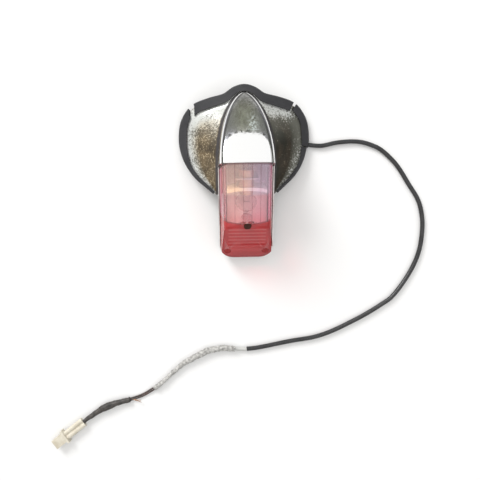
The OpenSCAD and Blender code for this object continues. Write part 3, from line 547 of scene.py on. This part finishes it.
def even_shading(piece):
    """Large flat faces keep their own direction, so holes and thin corners don't pull at the shine."""
    weighted = piece.modifiers.new("even_shading", "WEIGHTED_NORMAL")
    weighted.keep_sharp = True
    weighted.weight = FACE_WEIGHT
    return piece


plug = round_edges(welded_copy("connector_housing", "plug_body"), 0.35, segments=3)
hand_over(plug, "housing", connector_cream, ["connector_housing"])

# %% [markdown]
# The sheath leaves the object, the grey tape follows its white inner sleeve, and the black tape the wires.

# %% Where the cords start
in_metres(SHEATH_ROUTE)[0]
in_metres(TAPE_ROUTE)[0]
in_metres(BLACK_TAPE_ROUTE)[0]

# %% [markdown]
# Old chrome is three finishes at once: bright plate, fine pits where rust has come through, and brown haze.
# One recipe mixes them by noise, and every small chromed or steel part uses it with its own shares.


# %% Recipe for chrome
PIT_SCALE, HAZE_SCALE, PIT_DEPTH = 1100, 45, 0.2 * MM


def chrome_material(name, plate, pit, haze, pit_share, haze_share, rough, dent):
    material, tree, shader = new_material(name)
    place = object_place(tree)
    pits = noise_at(tree, place, PIT_SCALE, detail=4, roughness=0.65)
    patches = noise_at(tree, place, HAZE_SCALE, detail=5, roughness=0.6, distortion=0.4)
    pitted = math_node(tree, "ADD", pits, math_node(tree, "MULTIPLY", patches, 0.35))
    pit_mask = rise(tree, pitted, *pit_share)
    haze_mask = rise(tree, patches, *haze_share)
    bare = math_node(tree, "MAXIMUM", pit_mask, math_node(tree, "MULTIPLY", haze_mask, 0.6))
    worn = math_node(tree, "MAXIMUM", pit_mask, haze_mask)
    hazed = blend_colours(tree, haze_mask, plate, haze)
    connect(tree, shader, {
        "Base Color": blend_colours(tree, pit_mask, hazed, pit),
        "Metallic": between(tree, bare, 1.0, 0.35), "Roughness": between(tree, worn, *rough)})
    add_relief(tree, shader, pits, dent, PIT_DEPTH)
    return material


plain_chrome = chrome_material(
    "plain_chrome", plate=(0.76, 0.76, 0.74), pit=(0.2, 0.18, 0.15), haze=(0.6, 0.59, 0.55),
    pit_share=(0.85, 1.05), haze_share=(0.5, 0.8), rough=(0.1, 0.35), dent=0.15)
frame_chrome = chrome_material(
    "frame_chrome", plate=(0.74, 0.70, 0.69), pit=(0.22, 0.17, 0.15), haze=(0.50, 0.44, 0.42),
    pit_share=(0.78, 1.0), haze_share=(0.40, 0.65), rough=(0.15, 0.4), dent=0.2)
print("plain chrome made")

# %% [markdown]
# The rear of the hood is a clean mirror whose plate ends in an arch along the edge of the overhead
# reflection, and just ahead of the arch a few dark patches are painted as a painted reflection of that
# edge's jagged dark border.
# The nose has gone grey in long soft streaks, greyer still at the sides and darkest at the tip.
# Right of the middle the nose was rubbed bright again in small flecks.
# The turned rim keeps its bright plate, and beside it run dark strips of painted reflection, where the
# rounded shoulder mirrors the dim room. Both follow the hood's foot line.
# A slow ripple under the plate bends the mirror image a little, so the edge of a reflection is never sharp.

# %% Measures of the hood's foot line
JOINT_Y, FOOT_W, FOOT_TIP_Y, FOOT_FULLNESS = 2, 30.2, 86.8, 0.55


def foot_half(y):
    """Half the width of the hood's foot at y, from the joint to the nose."""
    way = max((y - JOINT_Y) / (FOOT_TIP_Y - JOINT_Y), 0)
    return FOOT_W * max(1 - way ** 2, 0) ** FOOT_FULLNESS


def inside_foot(tree, axes):
    """How far a place is inside the hood's foot line, in millimetres, and less than 0 outside it."""
    from_joint = math_node(tree, "SUBTRACT", axes["Y"], JOINT_Y * MM)
    way = math_node(tree, "DIVIDE", from_joint, (FOOT_TIP_Y - JOINT_Y) * MM, clamp=True)
    fullness = math_node(tree, "SUBTRACT", 1.0, math_node(tree, "MULTIPLY", way, way), clamp=True)
    half = math_node(tree, "MULTIPLY", math_node(tree, "POWER", fullness, FOOT_FULLNESS), FOOT_W)
    off_middle = math_node(tree, "DIVIDE", math_node(tree, "ABSOLUTE", axes["X"]), MM)
    return math_node(tree, "SUBTRACT", half, off_middle)


print("half width of the hood's foot 40 mm ahead of the joint:", round(foot_half(JOINT_Y + 40), 1), "mm")

# %% Measures and colours of the hood
MIRROR_TO, ARCH_DROP, ARCH_HALF, ARCH_SOFT = 34.0, 10.6, 21.5, 3.0
ARCH_POWER, ARCH_MOST = 4.0, 2.0
RUBBED_ACROSS, RUBBED_PAST = (7, 8), (10.0, 18.0)
TIP_Y, TIP_INSET = (66 * MM, 78 * MM), 1.5
ASIDE_REACH, ASIDE_RANGE = 20.0, (0.25, 0.9)
STREAK_STRETCH = (1, 0.12, 0.5)
ARCH_EDGE_PAST, ARCH_EDGE_HALF = (2.2, 2.6), 20.0
RIM_REACH, RIM_STRIP = 10, 3.2
# Bands of painted reflection beside the rim, as shares of the plate by the distance inside the foot line.
RIM_REFLECTION_STOPS = [(0.0, 0.8), (0.18, 0.85), (0.22, 1.0), (0.36, 1.0), (0.40, 0.25), (0.53, 0.28), (0.58, 0.6),
             (0.66, 0.65), (0.70, 1.0)]
PLATE, SIDE_GREY, TIP_GREY = (0.97, 0.97, 0.965), (0.62, 0.62, 0.68), (0.20, 0.20, 0.21)
STREAK_PALE, STREAK_DARK, SPECK = (0.86, 0.87, 0.81), (0.56, 0.56, 0.51), (0.30, 0.29, 0.25)
ARCH_EDGE_PAINTED_DARK, RUBBED = (0.07, 0.075, 0.06), (0.80, 0.90, 0.90)
print("the hood's mirror ends at", MIRROR_TO, "mm, and", ARCH_DROP, "mm earlier at its sides")

# %% Zones of the hood
hood_chrome, tree, shader = new_material("hood_chrome")
place, axes = place_and_axes(tree)
inwards = inside_foot(tree, axes)
across = math_node(tree, "DIVIDE", axes["X"], MM)
off_middle = math_node(tree, "ABSOLUTE", across)
bend = math_node(tree, "POWER", math_node(tree, "DIVIDE", off_middle, ARCH_HALF), ARCH_POWER)
bend = math_node(tree, "MINIMUM", bend, ARCH_MOST)
past = math_node(tree, "SUBTRACT", math_node(tree, "DIVIDE", axes["Y"], MM), MIRROR_TO)
past = math_node(tree, "MULTIPLY_ADD", bend, ARCH_DROP, past)
nose_share = math_node(tree, "DIVIDE", past, ARCH_SOFT, clamp=True)
worn_share = product(tree, nose_share, math_node(tree, "SUBTRACT", inwards, RIM_STRIP, clamp=True))
tip = product(tree, rise(tree, axes["Y"], *TIP_Y),
              math_node(tree, "SUBTRACT", inwards, TIP_INSET, clamp=True))
aside = rise(tree, math_node(tree, "DIVIDE", off_middle, ASIDE_REACH), *ASIDE_RANGE)
print("zones of the hood made: mirror, nose, tip and sides")

# %% Wear of the hood, and the painted reflection at the arch's edge and beside the rim
streak_place = node(tree, "ShaderNodeMapping", {"Vector": place, "Scale": STREAK_STRETCH}).outputs[0]
streaks = rise(tree, noise_at(tree, streak_place, scale=230, detail=4, roughness=0.65), 0.36, 0.64)
specks = rise(tree, noise_at(tree, place, scale=700, detail=3, roughness=0.7), 0.50, 0.70)
flecks = rise(tree, noise_at(tree, place, scale=420, detail=5, roughness=0.7), 0.46, 0.55)
painted_arch_edge = rise(tree, noise_at(tree, place, scale=240, detail=4, roughness=0.6), 0.50, 0.56)
ripple = noise_at(tree, place, scale=260, detail=4, roughness=0.6)
# Dark patches painted just ahead of the arch are painted reflection: the jagged dark border of the bright
# overhead reflection.
painted_arch_edge = product(tree, painted_arch_edge, stripe(tree, past, *ARCH_EDGE_PAST),
                 math_node(tree, "SUBTRACT", ARCH_EDGE_HALF, off_middle, clamp=True))
rubbed = product(tree, stripe(tree, across, *RUBBED_ACROSS), stripe(tree, past, *RUBBED_PAST))
rubbed = product(tree, flecks, rubbed, nose_share)
# The rim's dark strips are painted reflection, laid by the distance inside the foot line.
rim_painted_reflection = ramp(tree, math_node(tree, "DIVIDE", inwards, RIM_REACH, clamp=True), RIM_REFLECTION_STOPS)
print("wear of the hood made: streaks, specks, stains, rubbed flecks and the rim's strips")

# %% Hood chrome
worn = blend_colours(tree, streaks, STREAK_PALE, STREAK_DARK)
worn = blend_colours(tree, aside, worn, SIDE_GREY)
worn = paint_over(tree, specks, 0.5, worn, SPECK)
worn = paint_over(tree, tip, 0.7, worn, TIP_GREY)
shade = blend_colours(tree, worn_share, PLATE, worn)
# Painted reflection: the dark patches along the arch's edge.
shade = blend_colours(tree, painted_arch_edge, shade, ARCH_EDGE_PAINTED_DARK)
shade = blend_colours(tree, rubbed, shade, RUBBED)
# The base colour is darkened by the rim's painted reflection.
connect(tree, shader, {
    "Base Color": blend_colours(tree, 1.0, shade, rim_painted_reflection, "MULTIPLY"),
    "Metallic": between(tree, rubbed, 1.0, 0.45), "Roughness": between(tree, nose_share, 0.05, 0.15)})
add_relief(tree, shader, ripple, 0.2, 0.4 * MM)
print("hood chrome made")

# %% [markdown]
# The right wing is painted darker, in its rust and its flecks, as painted shade, because the light falls
# from the left.
# The wings lost most of their plate. What is left is flecks of chrome on brown rust.
# More flecks of plate are painted along the flat ledge at the edge and under the top trim, and paler there,
# as painted highlight where those faces catch the light from above; there are fewer on the right wing.
# A dark band is painted along the hood's foot, in the corner where a wing meets the hood.
# The ledge is marked on the mesh by an attribute, because no single coordinate follows it.
# Each weight below says how much the flecks grow, or shrink if it is less than 0, where its mask is 1.

# %% Measures and colours of the wings
LEDGE = "ledge"
LEFT_TOP_HIGHLIGHT, RIGHT_TOP_HIGHLIGHT = (46 * MM, 60 * MM), (53 * MM, 62 * MM)
RIGHT_AHEAD, RIGHT_END = (32 * MM, 48 * MM), (46 * MM, 56 * MM)
CORNER_SLOPE, CORNER_START, CORNER_FADE = -0.25, 0.2, (0.75, 0.95)
FLECK_RANGE, TURN_WIDTH = (0.55, 0.62), 50 * MM
# The right wing's rust and flecks are darker as painted shade.
RUST_LEFT = [(0.35, (0.055, 0.040, 0.023)), (0.62, (0.16, 0.115, 0.062))]
RUST_RIGHT_SHADED = [(0.35, (0.018, 0.017, 0.011)), (0.65, (0.055, 0.040, 0.026))]
RUST_LIT_LEDGE, CORNER_DARK = (0.13, 0.13, 0.11), (0.045, 0.042, 0.048)
FLECK_LEFT, FLECK_RIGHT_SHADED, FLECK_HIGHLIGHT = (0.56, 0.46, 0.30), (0.24, 0.21, 0.15), (0.62, 0.63, 0.61)
# Under the top trim the flecks and their paleness are painted highlight.
print("plate is left under the top trim from", LEFT_TOP_HIGHLIGHT[0], "m on, and", RIGHT_TOP_HIGHLIGHT[0], "m on the right")

# %% Zones of the wings
wing_chrome, tree, shader = new_material("wing_chrome")
place, axes = place_and_axes(tree)
ledge = node(tree, "ShaderNodeAttribute", attribute_name=LEDGE).outputs["Fac"]
right = soft_step(tree, axes["X"], 1 / TURN_WIDTH)
# The tops under the trim are painted highlights.
left_top_highlight = product(tree, rise(tree, axes["Y"], *LEFT_TOP_HIGHLIGHT), opposite(tree, right))
right_end = ramp(tree, axes["X"], [(RIGHT_END[0], 1.0), (RIGHT_END[1], 0.3)])
right_top_highlight = product(tree, rise(tree, axes["Y"], *RIGHT_TOP_HIGHLIGHT), right, right_end)
ahead = product(tree, rise(tree, axes["Y"], *RIGHT_AHEAD), right, ledge)
patches = noise_at(tree, place, scale=48, detail=4, roughness=0.6, distortion=0.5)
flecks = noise_at(tree, place, scale=560, detail=5, roughness=0.75)
# A dark band is painted in the corner along the hood's foot.
outwards = math_node(tree, "MULTIPLY", inside_foot(tree, axes), CORNER_SLOPE)
outwards = math_node(tree, "ADD", outwards, CORNER_START, clamp=True)
corner = ramp(tree, outwards, [(CORNER_FADE[0], 1.0), (CORNER_FADE[1], 0.0)])
print("zones of the wings made: ledge, tops, right wing and corner")

# %% Flecks left on the wings
# The ledge and the tops get more flecks as painted highlight, and the right wing fewer as painted shade.
wanted = math_node(tree, "MULTIPLY_ADD", patches, 0.30, -0.15)
for mask, weight in ((ledge, 0.10), (left_top_highlight, 0.10), (right_top_highlight, 0.19), (ahead, -0.10), (right, -0.055),
                     (corner, -0.3)):
    wanted = math_node(tree, "MULTIPLY_ADD", mask, weight, wanted)
fleck_mask = rise(tree, math_node(tree, "ADD", flecks, wanted), *FLECK_RANGE)
print("flecks of plate made")

# %% Wing chrome
# The right wing is painted darker as painted shade.
rust = blend_colours(tree, right, ramp(tree, patches, RUST_LEFT), ramp(tree, patches, RUST_RIGHT_SHADED))
# The ledge's paler rust and the paler flecks of the ledge and tops are painted highlight.
rust = blend_colours(tree, ledge, rust, RUST_LIT_LEDGE)
pale = math_node(tree, "MAXIMUM", ledge, math_node(tree, "MAXIMUM", left_top_highlight, right_top_highlight))
fleck_shade = blend_colours(tree, pale, blend_colours(tree, right, FLECK_LEFT, FLECK_RIGHT_SHADED), FLECK_HIGHLIGHT)
shade = blend_colours(tree, fleck_mask, rust, fleck_shade)
plain_right = product(tree, right, opposite(tree, fleck_mask))
connect(tree, shader, {
    "Base Color": paint_over(tree, corner, 0.85, shade, CORNER_DARK),
    "Specular IOR Level": between(tree, plain_right, 0.5, 0.2),
    "Metallic": between(tree, fleck_mask, 0.25, 0.4), "Roughness": between(tree, fleck_mask, 0.55, 0.3)})
add_relief(tree, shader, flecks, 0.5, 0.3 * MM)
print("wing chrome made")

# %% [markdown]
# The hood and its wings are one pressing, so they stay one piece with a finish for each zone.
# A face belongs to the hood if it lies inside the hood's foot line.
# The ledge attribute is 1 where the wing is nearly flat and 0 where it climbs to the hood.

# %% Housing
HOOD_ZONE, WING_ZONE = 0, 1
FLAT_FROM, FLAT_FULL = 0.70, 0.84
JOINT_SLACK, FOOT_SLACK = 0.5, 0.05
housing = welded_copy("housing_shell", "winged_housing", degrees=32)
hand_over(housing, "housing", hood_chrome, ["housing_shell"])
housing.data.materials.append(wing_chrome)
flatness = housing.data.attributes.new(LEDGE, "FLOAT", "POINT")
for vertex, value in zip(housing.data.vertices, flatness.data):
    value.value = min(max((abs(vertex.normal.z) - FLAT_FROM) / (FLAT_FULL - FLAT_FROM), 0), 1)
counts = [0, 0]
for face in housing.data.polygons:
    x, y = face.center.x / MM, face.center.y / MM
    on_hood = y > JOINT_Y - JOINT_SLACK and abs(x) < foot_half(y) + FOOT_SLACK
    face.material_index = HOOD_ZONE if on_hood else WING_ZONE
    counts[face.material_index] += 1
print("faces on the hood and the wings:", counts)

# %% [markdown]
# The lens frame is chromed outside and painted white inside, because it also throws the light back up.
# Its CAD shape is right and only needs its edges softened.
# The faces inside its walls take the second finish.

# %% Measures of the lens seat
SEAT_Z, SEAT_TILT = 44, math.radians(21)
FRAME_HALF, FRAME_LEN, FRAME_WALL = 30.1, 102.7, 2


def on_seat(point):
    """A point in millimetres on the lens seat: across it, down it from the joint, and over it."""
    y, z = point.y / MM - JOINT_Y, point.z / MM - SEAT_Z
    return (point.x / MM, -y * math.cos(SEAT_TILT) - z * math.sin(SEAT_TILT),
            z * math.cos(SEAT_TILT) - y * math.sin(SEAT_TILT))


print("the lens seat is tilted", round(math.degrees(SEAT_TILT), 1), "degrees and", FRAME_LEN, "mm long")

# %% Lens frame
WALL_SLACK, UNDERSIDE, WHITE_ZONE = 0.1, -0.3, 1
inner_white = dull_material(
    "inner_white", (0.66, 0.63, 0.60), (0.88, 0.87, 0.85), (0.3, 0.45), patch=45, grain=900, bump=0.1)
lens_frame = even_shading(round_edges(welded_copy("lens_frame", "lens_frame_pressing"), 0.3))
hand_over(lens_frame, "housing", frame_chrome, ["lens_frame"])
lens_frame.data.materials.append(inner_white)
painted = 0
for face in lens_frame.data.polygons:
    across, down, over = on_seat(face.center)
    between_sides = abs(across) < FRAME_HALF - FRAME_WALL + WALL_SLACK
    before_end = down < FRAME_LEN - FRAME_WALL + WALL_SLACK
    if between_sides and before_end and over < WALL_SLACK and face.normal.z > UNDERSIDE:
        face.material_index = WHITE_ZONE
        painted += 1
print("faces painted white inside the lens frame:", painted)

# %% [markdown]
# The rubber trim is pushed over the edge of the wings in four lengths.
# It is matt charcoal and a little mottled, and its edges are slightly rounded.

# %% Rubber trim
trim_rubber = dull_material(
    "trim_rubber", (0.022, 0.022, 0.025), (0.040, 0.040, 0.043), (0.5, 0.68), patch=50, grain=1600,
    bump=0.25, specular=0.3)
for trim_name in ("trim_top", "trim_left", "trim_right_upper", "trim_right_lower"):
    trim = welded_copy(trim_name, trim_name + "_rubber", degrees=30)
    round_edges(trim, 0.35, degrees=35)
    hand_over(trim, "housing", trim_rubber, [trim_name])

# %% [markdown]
# The lens is red acrylic that has gone slightly milky, and light has to get through it to the parts inside.
# Real refraction would leave them in the dark at so few samples.
# Lamps and bounced light pass it as a tint instead.
# The camera still sees glass, which bends and mirrors what it shows.


# %% Recipe for clear plastic and glass
def clear_material(name, pale, deep, rough=0.03, index=1.49):
    material, tree, shader = new_material(name)
    cloud = noise_at(tree, object_place(tree), scale=35, detail=3)
    shade = ramp(tree, cloud, [(0.2, pale), (0.8, deep)])
    connect(tree, shader, {"Base Color": shade, "Roughness": rough, "IOR": index, "Transmission Weight": 1})
    let_light_through(tree, shader, shade)
    return material


def let_light_through(tree, shader, shade):
    film = node(tree, "ShaderNodeBsdfTransparent", {"Color": shade})
    rays = node(tree, "ShaderNodeLightPath").outputs
    lit_ray = math_node(tree, "MAXIMUM", rays["Is Shadow Ray"], rays["Is Diffuse Ray"])
    pick = node(tree, "ShaderNodeMixShader", {0: lit_ray, 1: shader.outputs[0], 2: film.outputs[0]})
    tree.links.new(pick.outputs[0], tree.nodes["Material Output"].inputs["Surface"])


# %% [markdown]
# The top of the lens is thin and pale, and the tail past the crease is a deep red with ribs inside.
# The place along the lens seat tells the two apart.
# The colour turns at the crease, which dips in the middle.
# Near the joint the top is painted greyer, buff on the left and violet on the right, as painted shade of
# the darker parts inside that show through there.
# Flutes and ribs are moulded on the inside, and at this size they show as lines more than as shapes: the
# flutes are painted as darker lines and the ribs as pale painted highlights.
# The side walls are duller and redder than the top. Thin dark lines run beside them and along the joint.
# The right shoulder is painted a deeper red as painted shade, on the side away from the light.

# %% Measures of the lens
CREASE, CREASE_DIP, CREASE_REACH, CREASE_LINE = 50, 2.4, 23, 1.1
FLUTES, FLUTE_LINE = (-13.2, -4.4, 4.4, 13.2), 0.8
RIB_FROM, RIB_TO, RIB_STEP, RIB_LINE, RIB_REACH, RIB_ENDS = 58.0, 86.7, 4.78, 0.28, 20.5, 12.0
TAIL_TURN, RIGHT_TURN, AHEAD_TURN = 0.6, 0.045, 0.35
TOP_HALF, SIDE_FULL, SHADE_LINE, JOINT_LINE = 24.4, 26.0, 21, 2.2
EDGE_LINES, EDGE_LINE, RIGHT_SHOULDER_SHADE = (-24.4, -22.8), 0.6, (24.0, 1.8)
TOP_LEFT, TOP_RIGHT, TOP_CLOUD = (1.0, 0.74, 0.74), (0.98, 0.67, 0.78), (0.90, 0.50, 0.54)
FRONT_LEFT_SHADED, FRONT_RIGHT_SHADED, FLUTE_SHADE = (0.98, 0.78, 0.70), (0.80, 0.70, 0.84), (0.45, 0.20, 0.26)
TAIL_PALE, TAIL_DEEP, RIB_HIGHLIGHT = (0.58, 0.085, 0.09), (0.48, 0.06, 0.065), (0.85, 0.38, 0.38)
LIGHT_PAST_TOP, LIGHT_PAST_TAIL = (1.0, 0.92, 0.91), (0.86, 0.30, 0.33)
print("flutes at", FLUTES, "mm and a rib every", RIB_STEP, "mm")

# %% Zones of the lens
lens_red, tree, shader = new_material("lens_red")
place, axes = place_and_axes(tree)
across = math_node(tree, "DIVIDE", axes["X"], MM)
off_middle = math_node(tree, "ABSOLUTE", across)
along = math_node(tree, "MULTIPLY", axes["Y"], -math.cos(SEAT_TILT) / MM)
along = math_node(tree, "MULTIPLY_ADD", axes["Z"], -math.sin(SEAT_TILT) / MM, along)
along = math_node(tree, "ADD", along, JOINT_Y * math.cos(SEAT_TILT) + SEAT_Z * math.sin(SEAT_TILT))
from_middle = math_node(tree, "POWER", math_node(tree, "DIVIDE", across, CREASE_REACH), 2.0)
dip = math_node(tree, "MULTIPLY_ADD", from_middle, -CREASE_DIP, CREASE + CREASE_DIP)
past = math_node(tree, "SUBTRACT", along, dip)
tail = soft_step(tree, past, TAIL_TURN)
top = opposite(tree, tail)
cloud = noise_at(tree, place, scale=40, detail=3)
print("the lens turns from its top to its tail", CREASE, "mm along the seat")

# %% Shades of the lens's top
right = soft_step(tree, across, RIGHT_TURN)
# Near the joint the top is painted greyer as painted shade of the parts inside.
ahead = soft_step(tree, math_node(tree, "SUBTRACT", SHADE_LINE, along), AHEAD_TURN)
flutes = product(tree, stripes(tree, across, FLUTES, FLUTE_LINE), top)
top_shade = blend_colours(tree, right, TOP_LEFT, TOP_RIGHT)
front_painted_shade = blend_colours(tree, right, FRONT_LEFT_SHADED, FRONT_RIGHT_SHADED)
top_shade = blend_colours(tree, ahead, top_shade, front_painted_shade)
top_shade = blend_colours(tree, mottle(tree, cloud, 0.0, 0.25), top_shade, TOP_CLOUD)
top_shade = paint_over(tree, flutes, 0.5, top_shade, FLUTE_SHADE)
print("top of the lens made, with", len(FLUTES), "flutes")

# %% Shades of the lens's tail
# The ribs are pale painted highlight lines.
steps = math_node(tree, "DIVIDE", math_node(tree, "SUBTRACT", along, RIB_FROM), RIB_STEP)
ribs = stripe(tree, math_node(tree, "FRACT", steps), 0.5, RIB_LINE)
ribbed = stripe(tree, along, (RIB_FROM + RIB_TO) / 2, (RIB_TO - RIB_FROM) / 2)
ribs = product(tree, ribs, math_node(tree, "MULTIPLY", ribbed, RIB_ENDS, clamp=True),
               math_node(tree, "SUBTRACT", RIB_REACH, off_middle, clamp=True))
tail_shade = paint_over(tree, ribs, 0.38, mottle(tree, cloud, TAIL_PALE, TAIL_DEEP), RIB_HIGHLIGHT)
print("tail of the lens made, with", round((RIB_TO - RIB_FROM) / RIB_STEP), "ribs")

# %% Side walls and dark lines of the lens
wall = math_node(tree, "SUBTRACT", off_middle, TOP_HALF)
wall = math_node(tree, "DIVIDE", wall, SIDE_FULL - TOP_HALF, clamp=True)
dull = between(tree, wall, 0.5, 0.04)
side = product(tree, wall, top)
crease = stripe(tree, past, 0.0, CREASE_LINE)
edge_lines = product(tree, stripes(tree, across, EDGE_LINES, EDGE_LINE), top)
# The right shoulder's deeper red is painted shade.
right_shoulder_shade = product(tree, stripe(tree, across, *RIGHT_SHOULDER_SHADE), top)
joint_line = math_node(tree, "DIVIDE", axes["Y"], MM)
joint_line = math_node(tree, "SUBTRACT", joint_line, JOINT_Y - JOINT_LINE, clamp=True)
shade = blend_colours(tree, tail, top_shade, tail_shade)
for mask, strength, colour in ((crease, 0.7, (0.22, 0.03, 0.04)), (side, 0.9, (0.66, 0.20, 0.27)),
                               (edge_lines, 0.8, (0.38, 0.08, 0.13)), (right_shoulder_shade, 0.8, (0.66, 0.14, 0.27)),
                               (joint_line, 0.85, (0.13, 0.04, 0.05))):
    shade = paint_over(tree, mask, strength, shade, colour)
print("side walls and dark lines of the lens made")

# %% Red lens
solid = math_node(tree, "MAXIMUM", math_node(tree, "MAXIMUM", tail, side), joint_line)
solid = math_node(tree, "MAXIMUM", solid, math_node(tree, "MULTIPLY", ahead, 0.22))
connect(tree, shader, {
    "Base Color": shade, "Roughness": 0.07, "IOR": 1.3, "Specular IOR Level": dull,
    "Coat Weight": math_node(tree, "MULTIPLY", dull, 0.4), "Coat Roughness": 0.03,
    "Transmission Weight": between(tree, solid, 0.90, 0.45)})
let_light_through(tree, shader, blend_colours(tree, tail, LIGHT_PAST_TOP, LIGHT_PAST_TAIL))
lens = even_shading(welded_copy("lens", "red_lens", degrees=28))
hand_over(lens, "lens", lens_red, ["lens"])

# %% [markdown]
# The bright band across the lens is the flange along the top of the reflector, and the CAD solid has it.
# Its paint has yellowed on the left and is still white on the right.

# %% Reflector paint
YELLOW_TO, WHITE_FROM = -8 * MM, 6 * MM
YELLOW, WHITE, GRIME = (0.99, 0.97, 0.62), (0.99, 0.97, 0.96), (0.70, 0.64, 0.54)
reflector_paint, tree, shader = new_material("reflector_paint")
place, axes = place_and_axes(tree)
aged = math_node(tree, "SUBTRACT", axes["X"], YELLOW_TO)
aged = math_node(tree, "DIVIDE", aged, WHITE_FROM - YELLOW_TO, clamp=True)
grime = ramp(tree, noise_at(tree, place, scale=260, detail=4), [(0.45, 0.0), (0.8, 0.3)])
connect(tree, shader, {
    "Base Color": blend_colours(tree, grime, blend_colours(tree, aged, YELLOW, WHITE), GRIME),
    "Roughness": ramp(tree, grime, [(0.0, 0.3), (0.4, 0.55)])})
print("reflector paint made")

# %% Clear window and bulb
clear_window = clear_material("clear_window", (0.95, 0.96, 0.96), (0.90, 0.93, 0.93))
bulb_clear = clear_material("bulb_clear", (0.97, 0.98, 0.98), (0.93, 0.94, 0.93), rough=0.02, index=1.2)
print("clear materials made")


# %% [markdown]
# The small parts inside keep their CAD solids, and each takes a worn metal or plastic of its own.
# The two corner screws were painted over in the lens's red, and the long screw has only rusted.

# %% Finishes of the small parts
def small_metal(name, bright, dull, rough):
    haze = tuple((a + b) / 2 for a, b in zip(bright, dull))
    return chrome_material(name, bright, dull, haze, pit_share=(0.75, 1.0), haze_share=(0.45, 0.75),
                           rough=rough, dent=0.15)


FINISHES = {
    "zinc_steel": small_metal("zinc_steel", (0.60, 0.60, 0.57), (0.25, 0.22, 0.19), (0.3, 0.5)),
    "reflector_metal": reflector_paint,
    "contact_brass": small_metal("contact_brass", (0.62, 0.50, 0.30), (0.3, 0.22, 0.13), (0.3, 0.5)),
    "insulator": dull_material("insulator", (0.10, 0.05, 0.03), (0.18, 0.09, 0.05), (0.4, 0.55)),
    "sheath": sheath_black,
    "wire_dark": wire_dark,
    "trim_rubber": trim_rubber,
    "clear_plastic": clear_window,
    "bulb_glass": bulb_clear,
    "chrome_pitted": plain_chrome}
dressed = 0
for part in frame["record"]["subparts"]:
    holder = frame["nodes"][part["node"]]
    if part["material_slot"] in FINISHES and not holder.hide_render:
        wear(holder, FINISHES[part["material_slot"]])
        dressed += 1
wear(frame["nodes"]["lens_post_screw"],
     small_metal("rusty_screw", (0.065, 0.032, 0.026), (0.025, 0.013, 0.010), (0.5, 0.65)))
wear(frame["nodes"]["lens_corner_screws"],
     small_metal("red_screw", (0.34, 0.05, 0.05), (0.16, 0.02, 0.02), (0.4, 0.55)))
print("CAD nodes dressed:", dressed)
